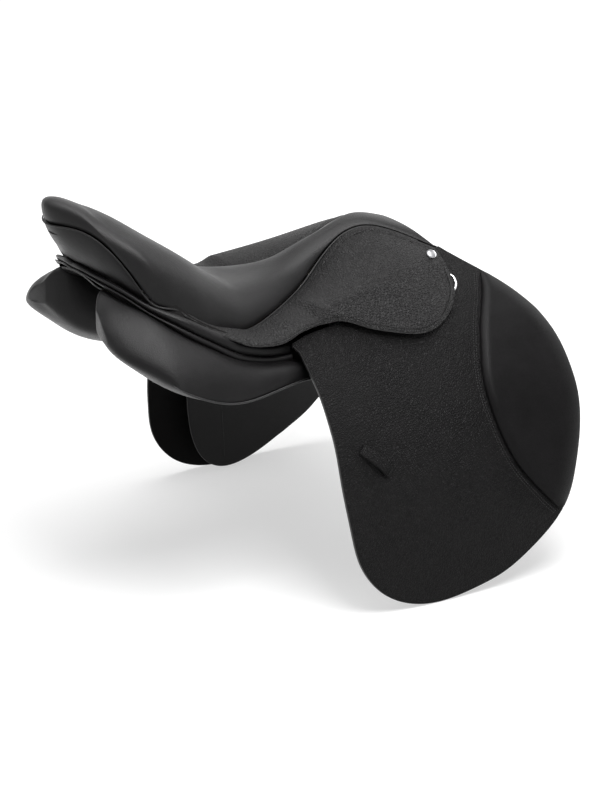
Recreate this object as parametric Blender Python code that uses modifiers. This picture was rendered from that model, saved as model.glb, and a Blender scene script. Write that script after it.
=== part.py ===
# Close-contact jumping saddle with a seat of 17 to 17.5 inches.
# Metres. +X runs to the pommel, +Y to the rider's left, +Z up.
# The origin lies on the centre plane, where the saddle rests on the horse's back under the
# lowest point of the seat.
# The flaps, skirts and everything sewn to them follow one side surface. A point on it is given
# by x, by v, the length of leather down from the top, and by d, the distance outward from the
# flap's outer face. The left half is modelled and mirrored.

import math

import bmesh
import bpy
import numpy as np
from mathutils import Matrix, Vector

GAP = 0.0003

# Side surface: its slope in degrees at each length down from the top
SIDE_TOP = (0.030, 0.120)
SIDE_SLOPES = (
    (0.000, 14.0), (0.055, 42.0), (0.150, 45.0), (0.300, 73.0), (0.380, 83.0), (0.460, 87.0),
)
SIDE_FLARE = 0.045
POMMEL_DROP = 0.010

# Leather, foam, wood and metal thicknesses
SEAT_LEATHER = 0.0025
SEAT_FOAM = 0.009
FOAM_DEPTH_TO_WIDTH = 0.32
FLAP_LEATHER = 0.0038
SKIRT_INNER = 0.0060
SKIRT_OUTER = 0.0084
SWEAT_OUTER = -0.0205
SWEAT_INNER = -0.0235
BILLET_OUTER = -0.0123
BILLET_INNER = -0.0158
WEB_LEVEL = -0.0170
WEB_THICKNESS = 0.0014
RAIL_HALF_THICKNESS = 0.0030
SPRING_THICKNESS = 0.0012
HEAD_PLATE_THICKNESS = 0.0025
POINT_LEVEL = -0.0330

# Where the leather bends: the flap under the skirt's edge, the skirt above the stirrup bar
FLAP_FLEX = 0.1746
FLAP_FLEX_HALF_GAP = 0.0011
FLAP_AXIS_LEVEL = 0.0115
SKIRT_FLEX = ((0.0300, 0.1120), (0.2085, 0.0720))
SKIRT_AXIS_LEVEL = 0.0135

# Stirrup bar: a flat frame on the side surface at this length down, slope in degrees
BAR_V = 0.1155
BAR_SLOPE = 43.5
BAR_HALF_HEIGHT = 0.0060

# Outlines of the bar and its catch in x and d, then the turned profiles in radius and height
BAR_PROFILE = (
    (0.0440, 0.0005), (0.0440, -0.0012), (0.0580, -0.0012), (0.0580, -0.0055), (0.1480, -0.0055),
    (0.1480, -0.0128), (0.0440, -0.0128), (0.0440, -0.0155), (0.1620, -0.0155), (0.1620, 0.0005),
)
CATCH_PROFILE = ((0.0450, -0.0016), (0.0450, -0.0052), (0.0550, -0.0052), (0.0550, -0.0016))
CATCH_PIN_X = 0.0500
BAR_BOLT_X = 0.1560
HOLE_PROFILE = ((0.0, 0.010), (0.0016, 0.010), (0.0016, -0.0080), (0.0, -0.0080))
PIN_PROFILE = (
    (0.0, 0.0018), (0.0016, 0.0016), (0.0028, 0.0008), (0.0013, 0.0008), (0.0013, -0.0056),
    (0.0026, -0.0056), (0.0026, -0.0068), (0.0, -0.0068),
)
BOLT_PROFILE = ((0.0, 0.0022), (0.0024, 0.0018), (0.0040, 0.0006), (0.0040, 0.0), (0.0, 0.0))

# Billets
BILLET_WIDTH = 0.0254
BILLET_CENTRES = (("front", 0.145), ("middle", 0.115), ("rear", 0.085))
BILLET_TOP = 0.128
BILLET_END = 0.410
BILLET_PIVOT_V = 0.150

WELT_RADIUS = 0.0014
SKIRT_STEPS = 5
SKIRT_ARCH = 0.035

# Seat: for each station from pommel to cantle, points from the centre line out to the welt
SEAT = (
    ((0.195, 0, 0.1145), (0.1985, 0.021, 0.112), (0.2025, 0.039, 0.1075),
     (0.209, 0.0535, 0.100), (0.2175, 0.066, 0.0905)),
    ((0.160, 0, 0.1225), (0.161, 0.010, 0.122), (0.162, 0.018, 0.1205),
     (0.164, 0.0245, 0.118), (0.1665, 0.030, 0.1135)),
    ((0.130, 0, 0.1185), (0.130, 0.006, 0.1183), (0.131, 0.011, 0.1175),
     (0.132, 0.0145, 0.116), (0.1335, 0.0175, 0.1135)),
    ((0.104, 0, 0.1085), (0.104, 0.006, 0.1083), (0.105, 0.011, 0.107),
     (0.1065, 0.0155, 0.1048), (0.108, 0.0185, 0.1015)),
    ((0.072, 0, 0.096), (0.073, 0.009, 0.0952), (0.074, 0.017, 0.0925),
     (0.077, 0.0225, 0.087), (0.079, 0.026, 0.0797)),
    ((0.032, 0, 0.081), (0.033, 0.016, 0.0805), (0.035, 0.029, 0.0775),
     (0.038, 0.038, 0.070), (0.041, 0.045, 0.0595)),
    ((-0.025, 0, 0.079), (-0.026, 0.030, 0.0795), (-0.027, 0.055, 0.0755),
     (-0.029, 0.073, 0.063), (-0.030, 0.084, 0.0455)),
    ((-0.062, 0, 0.0975), (-0.062, 0.035, 0.097), (-0.062, 0.063, 0.091),
     (-0.062, 0.083, 0.074), (-0.062, 0.095, 0.050)),
    ((-0.098, 0, 0.1235), (-0.097, 0.038, 0.1225), (-0.096, 0.070, 0.1145),
     (-0.094, 0.091, 0.093), (-0.091, 0.104, 0.060)),
    ((-0.130, 0, 0.1455), (-0.129, 0.038, 0.1435), (-0.127, 0.072, 0.135),
     (-0.123, 0.095, 0.111), (-0.116, 0.106, 0.074)),
    ((-0.155, 0, 0.1625), (-0.156, 0.035, 0.1605), (-0.155, 0.070, 0.150),
     (-0.150, 0.095, 0.128), (-0.140, 0.106, 0.0875)),
    ((-0.172, 0, 0.172), (-0.177, 0.032, 0.172), (-0.177, 0.062, 0.1615),
     (-0.170, 0.088, 0.141), (-0.161, 0.098, 0.096)),
    ((-0.183, 0, 0.1775), (-0.190, 0.022, 0.178), (-0.194, 0.045, 0.1745),
     (-0.193, 0.066, 0.158), (-0.180, 0.080, 0.130)),
    ((-0.191, 0, 0.181), (-0.198, 0.013, 0.184), (-0.2045, 0.026, 0.185),
     (-0.211, 0.037, 0.181), (-0.208, 0.045, 0.164)),
    ((-0.197, 0, 0.184), (-0.209, 0, 0.189), (-0.221, 0, 0.192),
     (-0.2315, 0, 0.187), (-0.229, 0, 0.167)),
)
SEAT_ROWS = 28
SEAT_COLUMNS = 8

# The stuffed roll between the cantle or skirt and the panel: its upper and lower edges
ROLL_TOP = (
    (-0.210, 0.0012, 0.1225), (-0.210, 0.015, 0.1240), (-0.192, 0.040, 0.1150), (-0.188, 0.050, 0.1130),
    (-0.173, 0.080, 0.0990), (-0.155, 0.100, 0.0870), (-0.132, 0.115, 0.0755), (-0.112, 0.120, 0.0630),
    (-0.091, 0.125, 0.0500), (-0.066, 0.125, 0.0385), (-0.040, 0.122, 0.0315), (-0.014, 0.120, 0.0305),
)
ROLL_BOTTOM = (
    (-0.214, 0.0012, 0.1135), (-0.214, 0.015, 0.1145), (-0.202, 0.037, 0.1125), (-0.195, 0.050, 0.1100),
    (-0.183, 0.080, 0.0975), (-0.160, 0.100, 0.0800), (-0.145, 0.115, 0.0690), (-0.127, 0.125, 0.0560),
    (-0.106, 0.130, 0.0430), (-0.084, 0.135, 0.0300), (-0.060, 0.135, 0.0220), (-0.036, 0.135, 0.0180),
    (-0.015, 0.135, 0.0180),
)

# Panel sections: x, then (y, z) of inner top, middle top, outer top, outer bottom, inner bottom
PANEL = (
    (-0.1955, (0.043, 0.088), (0.051, 0.087), (0.063, 0.081), (0.124, 0.050), (0.043, 0.041)),
    (-0.1925, (0.0375, 0.0955), (0.047, 0.0945), (0.061, 0.0895), (0.140, 0.0425), (0.0375, 0.0325)),
    (-0.1850, (0.037, 0.098), (0.052, 0.096), (0.069, 0.093), (0.150, 0.033), (0.037, 0.0285)),
    (-0.1750, (0.037, 0.096), (0.060, 0.089), (0.087, 0.087), (0.156, 0.026), (0.037, 0.0265)),
    (-0.1550, (0.037, 0.088), (0.070, 0.078), (0.104, 0.071), (0.162, 0.014), (0.037, 0.0235)),
    (-0.1300, (0.037, 0.070), (0.080, 0.057), (0.123, 0.050), (0.163, 0.002), (0.037, 0.0195)),
    (-0.1000, (0.037, 0.050), (0.088, 0.038), (0.131, 0.032), (0.163, -0.007), (0.037, 0.014)),
    (-0.0600, (0.037, 0.038), (0.088, 0.025), (0.134, 0.016), (0.159, -0.005), (0.037, 0.010)),
    (-0.0150, (0.037, 0.031), (0.085, 0.021), (0.133, 0.012), (0.152, 0.001), (0.038, 0.006)),
    (0.0300, (0.039, 0.035), (0.085, 0.022), (0.127, 0.004), (0.143, -0.008), (0.040, 0.004)),
    (0.0700, (0.040, 0.043), (0.088, 0.026), (0.135, -0.002), (0.147, -0.038), (0.042, 0.010)),
    (0.1100, (0.042, 0.050), (0.092, 0.022), (0.146, -0.010), (0.150, -0.066), (0.046, 0.018)),
    (0.1500, (0.044, 0.055), (0.095, 0.018), (0.149, -0.014), (0.146, -0.080), (0.050, 0.024)),
    (0.1850, (0.048, 0.055), (0.095, 0.017), (0.143, -0.012), (0.138, -0.068), (0.056, 0.028)),
    (0.2050, (0.056, 0.046), (0.090, 0.018), (0.122, 0.000), (0.116, -0.036), (0.066, 0.022)),
)
# Near its rear end the panel leans back, more so further out
PANEL_LEAN = 0.0100
PANEL_LEAN_START = -0.178
PANEL_LEAN_FULL = -0.1955
PANEL_LEAN_ACROSS = (0.05, 0.11)

PANEL_OUTER_BOTTOM = 6

# Tree: half of its ring, from the middle of the head round to the middle of the cantle:
# centre, outward direction of the lath, half width
TREE = (
    ((0.168, 0.000, 0.1065), (1.00, 0.00, 0.00), 0.014),
    ((0.168, 0.020, 0.1035), (1.00, 0.00, 0.00), 0.014),
    ((0.166, 0.036, 0.0940), (0.90, 0.35, -0.20), 0.014),
    ((0.155, 0.048, 0.0840), (0.60, 0.75, -0.25), 0.015),
    ((0.130, 0.053, 0.0760), (0.10, 0.97, -0.25), 0.018),
    ((0.100, 0.053, 0.0715), (0.00, 0.97, -0.25), 0.0185),
    ((0.070, 0.055, 0.0550), (0.00, 0.97, -0.25), 0.016),
    ((0.035, 0.064, 0.0415), (0.00, 0.97, -0.25), 0.014),
    ((0.000, 0.074, 0.0360), (0.00, 0.97, -0.25), 0.014),
    ((-0.040, 0.080, 0.0370), (0.00, 0.97, -0.22), 0.012),
    ((-0.080, 0.084, 0.0450), (0.00, 0.97, -0.22), 0.013),
    ((-0.115, 0.084, 0.0620), (-0.05, 0.97, -0.22), 0.014),
    ((-0.145, 0.080, 0.0830), (-0.25, 0.94, -0.10), 0.014),
    ((-0.161, 0.061, 0.1060), (-0.40, 0.60, 0.65), 0.014),
    ((-0.178, 0.038, 0.1270), (-0.42, 0.28, 0.86), 0.017),
    ((-0.187, 0.015, 0.1390), (-0.37, 0.08, 0.92), 0.021),
    ((-0.189, 0.000, 0.1410), (-0.35, 0.00, 0.94), 0.021),
)

# Outlines on the side surface: (x, v)
FLAP_REAR = (
    (-0.0115, 0.1500), (-0.0095, 0.1735), (-0.0065, 0.200), (-0.005, 0.230), (-0.004, 0.256),
    (-0.004, 0.299), (0.001, 0.352), (0.008, 0.388), (0.018, 0.408), (0.038, 0.430), (0.069, 0.446),
)
FLAP_FRONT = (
    (0.090, 0.4505), (0.128, 0.4495), (0.152, 0.445), (0.188, 0.435), (0.226, 0.414), (0.255, 0.392),
    (0.275, 0.369), (0.290, 0.335), (0.306, 0.284), (0.312, 0.249), (0.312, 0.221), (0.308, 0.183),
    (0.297, 0.149), (0.281, 0.118), (0.261, 0.091), (0.240, 0.067), (0.2205, 0.0450),
)
FLAP_ROOT_TOP = (
    (0.2135, 0.0480), (0.207, 0.060), (0.180, 0.067), (0.170, 0.078), (0.166, 0.108), (0.166, 0.1225),
    (0.062, 0.1225), (0.057, 0.1245), (0.042, 0.1245), (0.036, 0.1255), (0.005, 0.131), (-0.018, 0.139),
)
KNEE_SEAM = (
    (0.251, 0.089), (0.242, 0.110), (0.230, 0.132), (0.218, 0.153), (0.209, 0.172), (0.202, 0.190),
    (0.196, 0.208), (0.193, 0.226), (0.193, 0.247), (0.196, 0.269), (0.203, 0.294), (0.216, 0.321),
    (0.236, 0.347), (0.255, 0.368), (0.2635, 0.3760),
)
SKIRT_EDGE = (
    (0.030, 0.1265), (0.042, 0.126), (0.058, 0.131), (0.074, 0.140), (0.094, 0.148), (0.117, 0.155),
    (0.137, 0.158), (0.160, 0.153), (0.181, 0.139), (0.194, 0.124), (0.201, 0.113), (0.208, 0.084),
    (0.2085, 0.0720),
)
SKIRT_REAR_EDGE = (
    (0.021, 0.1265), (-0.006, 0.132), (-0.028, 0.140), (-0.053, 0.140), (-0.074, 0.134), (-0.094, 0.121),
)
SWEAT_FLAP = (
    (0.040, 0.300), (0.043, 0.334), (0.047, 0.362), (0.054, 0.394), (0.064, 0.418), (0.076, 0.434),
    (0.098, 0.446), (0.116, 0.447), (0.138, 0.442), (0.164, 0.431), (0.193, 0.415), (0.223, 0.397),
    (0.246, 0.375), (0.266, 0.345), (0.279, 0.305), (0.287, 0.262), (0.288, 0.225), (0.282, 0.190),
    (0.268, 0.155), (0.250, 0.128), (0.232, 0.110), (0.205, 0.102), (0.100, 0.102), (0.045, 0.106),
    (0.036, 0.150), (0.034, 0.200), (0.036, 0.260),
)
KNEE_BLOCK = (
    (0.222, 0.128), (0.240, 0.134), (0.256, 0.160), (0.269, 0.195), (0.275, 0.230), (0.273, 0.265),
    (0.266, 0.300), (0.255, 0.325), (0.244, 0.325), (0.232, 0.300), (0.224, 0.262), (0.220, 0.225),
    (0.216, 0.190), (0.213, 0.155),
)
KEEPER_LINE = ((0.0255, 0.267), (0.0555, 0.2985))
KEEPER_WIDTH = 0.0125
KEEPER_THICKNESS = 0.0022
KEEPER_ARCH = 0.0062
DEE_BAR = ((0.2035, 0.0815), (0.1955, 0.1105))
DEE_BOW = ((0.2085, 0.0835), (0.2130, 0.0890), (0.2125, 0.0980), (0.2080, 0.1055), (0.2005, 0.1115))
DEE_LEVEL = 0.0028
DEE_WIRE = 0.0030
STUD_PLACE = (0.197, 0.057)
STUD_DIAMETER = 0.011
STUD_LEVEL = 0.0080
TURN_STEPS = 18

KNEE_PAD_HEIGHT = 0.0080
KNEE_PAD_RIM = 0.0022
KNEE_PAD_SLOPE_WIDTH = 0.020

LEATHER = (0.012, 0.011, 0.012)
LEATHER_SOFT = (0.020, 0.019, 0.020)
STEEL = (0.62, 0.62, 0.63)

for stale in list(bpy.data.objects):
    bpy.data.objects.remove(stale, do_unlink=True)

saddle = bpy.data.collections.new("saddle")
cutters = bpy.data.collections.new("cutters")
bpy.context.scene.collection.children.link(saddle)
bpy.context.scene.collection.children.link(cutters)

# The side surface


def side_table():
    """Sideways and upward position of the side surface for each length down it."""
    lengths = np.linspace(0.0, SIDE_SLOPES[-1][0], 461)
    knots, slopes = zip(*SIDE_SLOPES)
    angles = np.radians(np.interp(lengths, knots, slopes))
    step = lengths[1]
    run = np.concatenate(([0.0], np.cumsum((np.cos(angles[1:]) + np.cos(angles[:-1])) * step / 2)))
    fall = np.concatenate(([0.0], np.cumsum((np.sin(angles[1:]) + np.sin(angles[:-1])) * step / 2)))
    return lengths, angles, SIDE_TOP[0] + run, SIDE_TOP[1] - fall


LENGTHS, ANGLES, ACROSS, HEIGHTS = side_table()


def side(x, v, d=0.0):
    """Point at length v down the side surface, d outward from it."""
    angle = np.interp(v, LENGTHS, ANGLES)
    flare = SIDE_FLARE * (x - 0.12) * min(max((v - 0.10) / 0.25, 0.0), 1.0)
    ahead = min(max((x - 0.14) / 0.07, 0.0), 1.0)
    near_top = min(max(1.0 - (v - 0.05) / 0.10, 0.0), 1.0)
    drop = POMMEL_DROP * ahead * ahead * (3.0 - 2.0 * ahead) * near_top
    y = np.interp(v, LENGTHS, ACROSS) + d * math.sin(angle) + flare
    z = np.interp(v, LENGTHS, HEIGHTS) + d * math.cos(angle) - drop
    return Vector((x, y, z))


# Curves and surfaces through given points


def spline(points, count):
    """Natural cubic spline through evenly spaced points, read at count + 1 places."""
    points = np.asarray(points, dtype=float)
    n = len(points)
    matrix = np.zeros((n, n))
    right = np.zeros(points.shape)
    matrix[0, 0] = matrix[-1, -1] = 1.0
    for i in range(1, n - 1):
        matrix[i, i - 1:i + 2] = (1.0, 4.0, 1.0)
        right[i] = 6.0 * (points[i - 1] - 2.0 * points[i] + points[i + 1])
    bend = np.linalg.solve(matrix, right.reshape(n, -1)).reshape(points.shape)
    rows = []
    for place in np.linspace(0.0, n - 1.0, count + 1):
        i = min(int(place), n - 2)
        t = place - i
        row = points[i] * (1 - t) + points[i + 1] * t
        row = row + bend[i] * ((1 - t) ** 3 - (1 - t)) / 6.0 + bend[i + 1] * (t ** 3 - t) / 6.0
        rows.append(row)
    return np.array(rows)


def even_line(points, count):
    """Straight-sided line through points, read at count + 1 even steps of its length."""
    points = np.asarray(points, dtype=float)
    steps = np.linalg.norm(np.diff(points, axis=0), axis=1)
    run = np.concatenate(([0.0], np.cumsum(steps)))
    places = np.linspace(0.0, run[-1], count + 1)
    return np.array([[np.interp(place, run, points[:, k]) for k in range(3)] for place in places])


def seat_grid():
    """Seat surface from pommel to cantle, from the centre line out to the welt."""
    fine_rows = spline(np.array(SEAT), SEAT_ROWS)
    grid = []
    for row in fine_rows:
        mirrored = row[:0:-1] * np.array((1.0, -1.0, 1.0))
        whole = spline(np.concatenate((mirrored, row)), 2 * SEAT_COLUMNS)
        half = whole[SEAT_COLUMNS:]
        half[0, 1] = 0.0
        grid.append(half)
    grid = np.array(grid)
    grid[-1, :, 1] = 0.0
    return grid


def whole_width(grid):
    """Half grid joined to its mirror image, right side first."""
    mirrored = grid[:, :0:-1] * np.array((1.0, -1.0, 1.0))
    return np.concatenate((mirrored, grid), axis=1)


def grid_normals(grid):
    """Unit normals of a grid of points, with rows running back and columns running left."""
    along = np.gradient(grid, axis=0)
    across = np.gradient(grid, axis=1)
    normals = np.cross(across, along)
    size = np.linalg.norm(normals, axis=2, keepdims=True)
    return normals / np.maximum(size, 1e-9)


# Meshes


def shell_between(outer, inner):
    """Closed solid between two equal grids of points."""
    bm = bmesh.new()
    rows = len(outer)
    columns = len(outer[0])
    top = [[bm.verts.new(point) for point in row] for row in outer]
    low = [[bm.verts.new(point) for point in row] for row in inner]
    for r in range(rows - 1):
        for c in range(columns - 1):
            bm.faces.new((top[r][c], top[r + 1][c], top[r + 1][c + 1], top[r][c + 1]))
            bm.faces.new((low[r][c], low[r][c + 1], low[r + 1][c + 1], low[r + 1][c]))
    rim = [(0, c) for c in range(columns)]
    rim += [(r, columns - 1) for r in range(1, rows)]
    rim += [(rows - 1, c) for c in range(columns - 2, -1, -1)]
    rim += [(r, 0) for r in range(rows - 2, 0, -1)]
    for (r0, c0), (r1, c1) in zip(rim, rim[1:] + rim[:1]):
        bm.faces.new((top[r0][c0], top[r1][c1], low[r1][c1], low[r0][c0]))
    return bm


def loft(sections, ring=False):
    """Closed solid through rings of points, with flat ends unless it is a ring itself."""
    bm = bmesh.new()
    loops = [[bm.verts.new(point) for point in section] for section in sections]
    pairs = list(zip(loops, loops[1:]))
    if ring:
        pairs.append((loops[-1], loops[0]))
    count = len(loops[0])
    for a, b in pairs:
        for i in range(count):
            j = (i + 1) % count
            bm.faces.new((a[i], a[j], b[j], b[i]))
    if not ring:
        bm.faces.new(loops[0][::-1])
        bm.faces.new(loops[-1])
    return bm


def edge_distance(x, v, outline):
    """Distance from a point to the nearest edge of an outline."""
    nearest = 1.0
    for (x0, v0), (x1, v1) in zip(outline, outline[1:] + outline[:1]):
        length_2 = (x1 - x0) ** 2 + (v1 - v0) ** 2
        t = min(max(((x - x0) * (x1 - x0) + (v - v0) * (v1 - v0)) / length_2, 0.0), 1.0)
        nearest = min(nearest, math.hypot(x - x0 - t * (x1 - x0), v - v0 - t * (v1 - v0)))
    return nearest


def leather(outline, inner, outer, spacing_x=0.06, spacing_v=0.02, crown=None):
    """Piece of leather on the side surface, flat or crowned, from its outline in x and v.

    crown holds the height of the outer face at the edge, the full height, the width of the
    rounded slope between them and the outline that the slope is measured from."""
    flat = bmesh.new()
    flat.faces.new([flat.verts.new((x, v, 0.0)) for x, v in outline])
    xs = [x for x, v in outline]
    vs = [v for x, v in outline]
    cuts = []
    for i in range(math.ceil(min(vs) / spacing_v), math.floor(max(vs) / spacing_v) + 1):
        cuts.append(((0.0, i * spacing_v, 0.0), (0.0, 1.0, 0.0)))
    for i in range(math.ceil(min(xs) / spacing_x), math.floor(max(xs) / spacing_x) + 1):
        cuts.append(((i * spacing_x, 0.0, 0.0), (1.0, 0.0, 0.0)))
    for place, normal in cuts:
        geometry = flat.verts[:] + flat.edges[:] + flat.faces[:]
        bmesh.ops.bisect_plane(flat, geom=geometry, dist=0.0004, plane_co=place, plane_no=normal)
    bm = bmesh.new()
    top = {}
    low = {}
    for vert in flat.verts:
        x, v = vert.co.x, vert.co.y
        level = outer
        if crown:
            rim, height, width, measured_from = crown
            near = min(edge_distance(x, v, measured_from) / width, 1.0)
            level = inner + rim + (height - rim) * math.sin(near * math.pi / 2)
        top[vert] = bm.verts.new(side(x, v, level))
        low[vert] = bm.verts.new(side(x, v, inner))
    for face in flat.faces:
        bm.faces.new([top[vert] for vert in face.verts])
        bm.faces.new([low[vert] for vert in reversed(face.verts)])
    for edge in flat.edges:
        if edge.is_boundary:
            loop = edge.link_loops[0]
            a = loop.vert
            b = loop.link_loop_next.vert
            bm.faces.new((top[b], top[a], low[a], low[b]))
    flat.free()
    return bm


def band(line, width, lows, highs, tip=1.0):
    """Strap that follows a line on the side surface, with its levels given at each point."""
    line = [Vector(point) for point in line]
    sections = []
    for i, point in enumerate(line):
        ahead = line[min(i + 1, len(line) - 1)] - line[max(i - 1, 0)]
        across = Vector((ahead.y, -ahead.x)).normalized() * width / 2
        if i == len(line) - 1:
            across = across * tip
        a = point - across
        b = point + across
        sections.append((side(a.x, a.y, lows[i]), side(a.x, a.y, highs[i]),
                         side(b.x, b.y, highs[i]), side(b.x, b.y, lows[i])))
    return loft(sections)


# Objects


def material(name, colour, roughness, metallic=0.0):
    """Principled material in one plain colour."""
    new = bpy.data.materials.new(name)
    new.use_nodes = True
    shader = new.node_tree.nodes["Principled BSDF"]
    shader.inputs["Base Color"].default_value = (*colour, 1.0)
    shader.inputs["Roughness"].default_value = roughness
    shader.inputs["Metallic"].default_value = metallic
    new.diffuse_color = (*colour, 1.0)
    return new


def mirrored_place(place):
    """The same place on the other side of the centre plane."""
    return Vector((place[0], -place[1], place[2]))


def add(name, bm, look, pivot=(0.0, 0.0, 0.0), smooth=0.0):
    """Object from a mesh in saddle coordinates, with its origin at the pivot."""
    bmesh.ops.recalc_face_normals(bm, faces=bm.faces[:])
    bmesh.ops.translate(bm, verts=bm.verts[:], vec=-Vector(pivot))
    mesh = bpy.data.meshes.new(name)
    bm.to_mesh(mesh)
    bm.free()
    if smooth:
        mesh.shade_smooth()
        mesh.set_sharp_from_angle(angle=math.radians(smooth))
    mesh.materials.append(material(name, *look))
    obj = bpy.data.objects.new(name, mesh)
    obj.location = pivot
    saddle.objects.link(obj)
    return obj


def add_pair(name, bm, look, pivot=(0.0, 0.0, 0.0), smooth=0.0):
    """Left object and its mirror image on the right."""
    other = bm.copy()
    bmesh.ops.transform(other, matrix=Matrix.Diagonal((1.0, -1.0, 1.0, 1.0)), verts=other.verts[:])
    bmesh.ops.reverse_faces(other, faces=other.faces[:])
    left = add(name + "_left", bm, look, pivot, smooth)
    right = add(name + "_right", other, look, mirrored_place(pivot), smooth)
    return left, right


def add_tube(name, points, radius, look, pivot=(0.0, 0.0, 0.0), closed=False, resolution=1):
    """Tube along points, with filled ends unless it closes on itself."""
    curve = bpy.data.curves.new(name, "CURVE")
    curve.dimensions = "3D"
    curve.bevel_depth = radius
    curve.bevel_resolution = resolution
    curve.use_fill_caps = True
    line = curve.splines.new("POLY")
    line.points.add(len(points) - 1)
    for target, point in zip(line.points, points):
        target.co = (*(Vector(point) - Vector(pivot)), 1.0)
    line.use_cyclic_u = closed
    curve.materials.append(material(name, *look))
    obj = bpy.data.objects.new(name, curve)
    obj.location = pivot
    saddle.objects.link(obj)
    return obj


def add_tube_pair(name, points, radius, look, pivot=(0.0, 0.0, 0.0), closed=False, resolution=1):
    """Left tube and its mirror image on the right."""
    other = [mirrored_place(point) for point in points]
    add_tube(name + "_left", points, radius, look, pivot, closed, resolution)
    add_tube(name + "_right", other, radius, look, mirrored_place(pivot), closed, resolution)


def add_turned(name, profile, centre, direction, look, smooth=0.0):
    """Turned piece: a profile of (radius, height), down its outer side from top to bottom, with
    its origin at the centre and its axis along the direction."""
    mesh = bpy.data.meshes.new(name)
    points = [(radius, 0.0, height) for radius, height in profile]
    mesh.from_pydata(points, [(i, i + 1) for i in range(len(points) - 1)], [])
    mesh.materials.append(material(name, *look))
    obj = bpy.data.objects.new(name, mesh)
    obj.location = centre
    obj.rotation_euler = Vector(direction).to_track_quat("Z", "Y").to_euler()
    saddle.objects.link(obj)
    screw = obj.modifiers.new("turn", "SCREW")
    screw.axis = "Z"
    screw.angle = math.radians(360)
    screw.steps = TURN_STEPS
    screw.render_steps = TURN_STEPS
    screw.use_merge_vertices = True
    screw.merge_threshold = 0.00005
    screw.use_smooth_shade = smooth > 0.0
    return obj


def add_turned_pair(name, profile, centre, direction, look, smooth=0.0):
    """Left turned piece and its mirror image on the right."""
    left = add_turned(name + "_left", profile, centre, direction, look, smooth)
    other_place = (mirrored_place(centre), mirrored_place(direction))
    right = add_turned(name + "_right", profile, *other_place, look, smooth)
    return left, right


def cut(obj, cutter):
    """Boolean cut that stays on its object."""
    modifier = obj.modifiers.new("cut", "BOOLEAN")
    modifier.operation = "DIFFERENCE"
    modifier.solver = "EXACT"
    modifier.object = cutter
    cutters.objects.link(cutter)
    saddle.objects.unlink(cutter)
    cutter.hide_render = True
    cutter.display_type = "WIRE"


# Seat: cover, foam and the webbing that carries it

seat = seat_grid()
seat_whole = whole_width(seat)
seat_normals = grid_normals(seat_whole)
CENTRE = SEAT_COLUMNS


def build_seat_cover():
    """Leather cover: half of the seat surface, mirrored and thickened inward."""
    bm = bmesh.new()
    rows = [[bm.verts.new(point) for point in row] for row in seat]
    for r in range(SEAT_ROWS):
        for c in range(SEAT_COLUMNS):
            bm.faces.new((rows[r][c], rows[r + 1][c], rows[r + 1][c + 1], rows[r][c + 1]))
    bmesh.ops.reverse_faces(bm, faces=bm.faces[:])
    mesh = bpy.data.meshes.new("seat_cover")
    bm.to_mesh(mesh)
    bm.free()
    mesh.shade_smooth()
    mesh.set_sharp_from_angle(angle=math.radians(60))
    mesh.materials.append(material("seat_cover", LEATHER_SOFT, 0.42))
    obj = bpy.data.objects.new("seat_cover", mesh)
    saddle.objects.link(obj)
    mirror = obj.modifiers.new("other_half", "MIRROR")
    mirror.use_axis = (False, True, False)
    mirror.use_clip = True
    mirror.merge_threshold = 0.0001
    solidify = obj.modifiers.new("leather", "SOLIDIFY")
    solidify.thickness = SEAT_LEATHER
    solidify.offset = -1.0


def build_seat_foam():
    """Foam under the cover, thinner toward the welt and the pommel."""
    rows = range(1, SEAT_ROWS - 1)
    columns = range(CENTRE - 6, CENTRE + 7, 2)
    top = []
    low = []
    for r in rows:
        top_row = []
        low_row = []
        for c in columns:
            side_share = abs(c - CENTRE) / 6
            front_share = min(max((r - 1) / 8, 0.0), 1.0)
            depth = min(SEAT_FOAM, FOAM_DEPTH_TO_WIDTH * seat[r][-1][1])
            depth *= (1.0 - 0.55 * side_share ** 2) * (0.45 + 0.55 * front_share)
            cover = SEAT_LEATHER + 0.0009
            point = seat_whole[r][c]
            normal = seat_normals[r][c]
            top_row.append(point - normal * cover)
            low_row.append(point - normal * (cover + depth))
        top.append(top_row)
        low.append(low_row)
    add("seat_foam", shell_between(top, low), ((0.75, 0.70, 0.52), 0.9))


def tree_frames():
    """Centre, outward direction, upward direction and half width along half of the tree."""
    frames = []
    centres = np.array([centre for centre, outward, half in TREE])
    travel = np.gradient(centres, axis=0)
    for (centre, outward, half), ahead in zip(TREE, travel):
        outward = Vector(outward).normalized()
        ahead = Vector(ahead)
        outward = (outward - ahead * (outward.dot(ahead) / ahead.dot(ahead))).normalized()
        upward = outward.cross(ahead).normalized()
        frames.append((Vector(centre), outward, upward, half))
    return frames


def lath_section(frame, low, high, reach_in=None, reach_out=None):
    """Rectangular section on a tree frame between two levels."""
    centre, outward, upward, half = frame
    a = -half if reach_in is None else reach_in
    b = half if reach_out is None else reach_out
    return [centre + outward * a + upward * low, centre + outward * a + upward * high,
            centre + outward * b + upward * high, centre + outward * b + upward * low]


def mirror_section(section):
    """The same section on the other side."""
    return [mirrored_place(point) for point in section]


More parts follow.
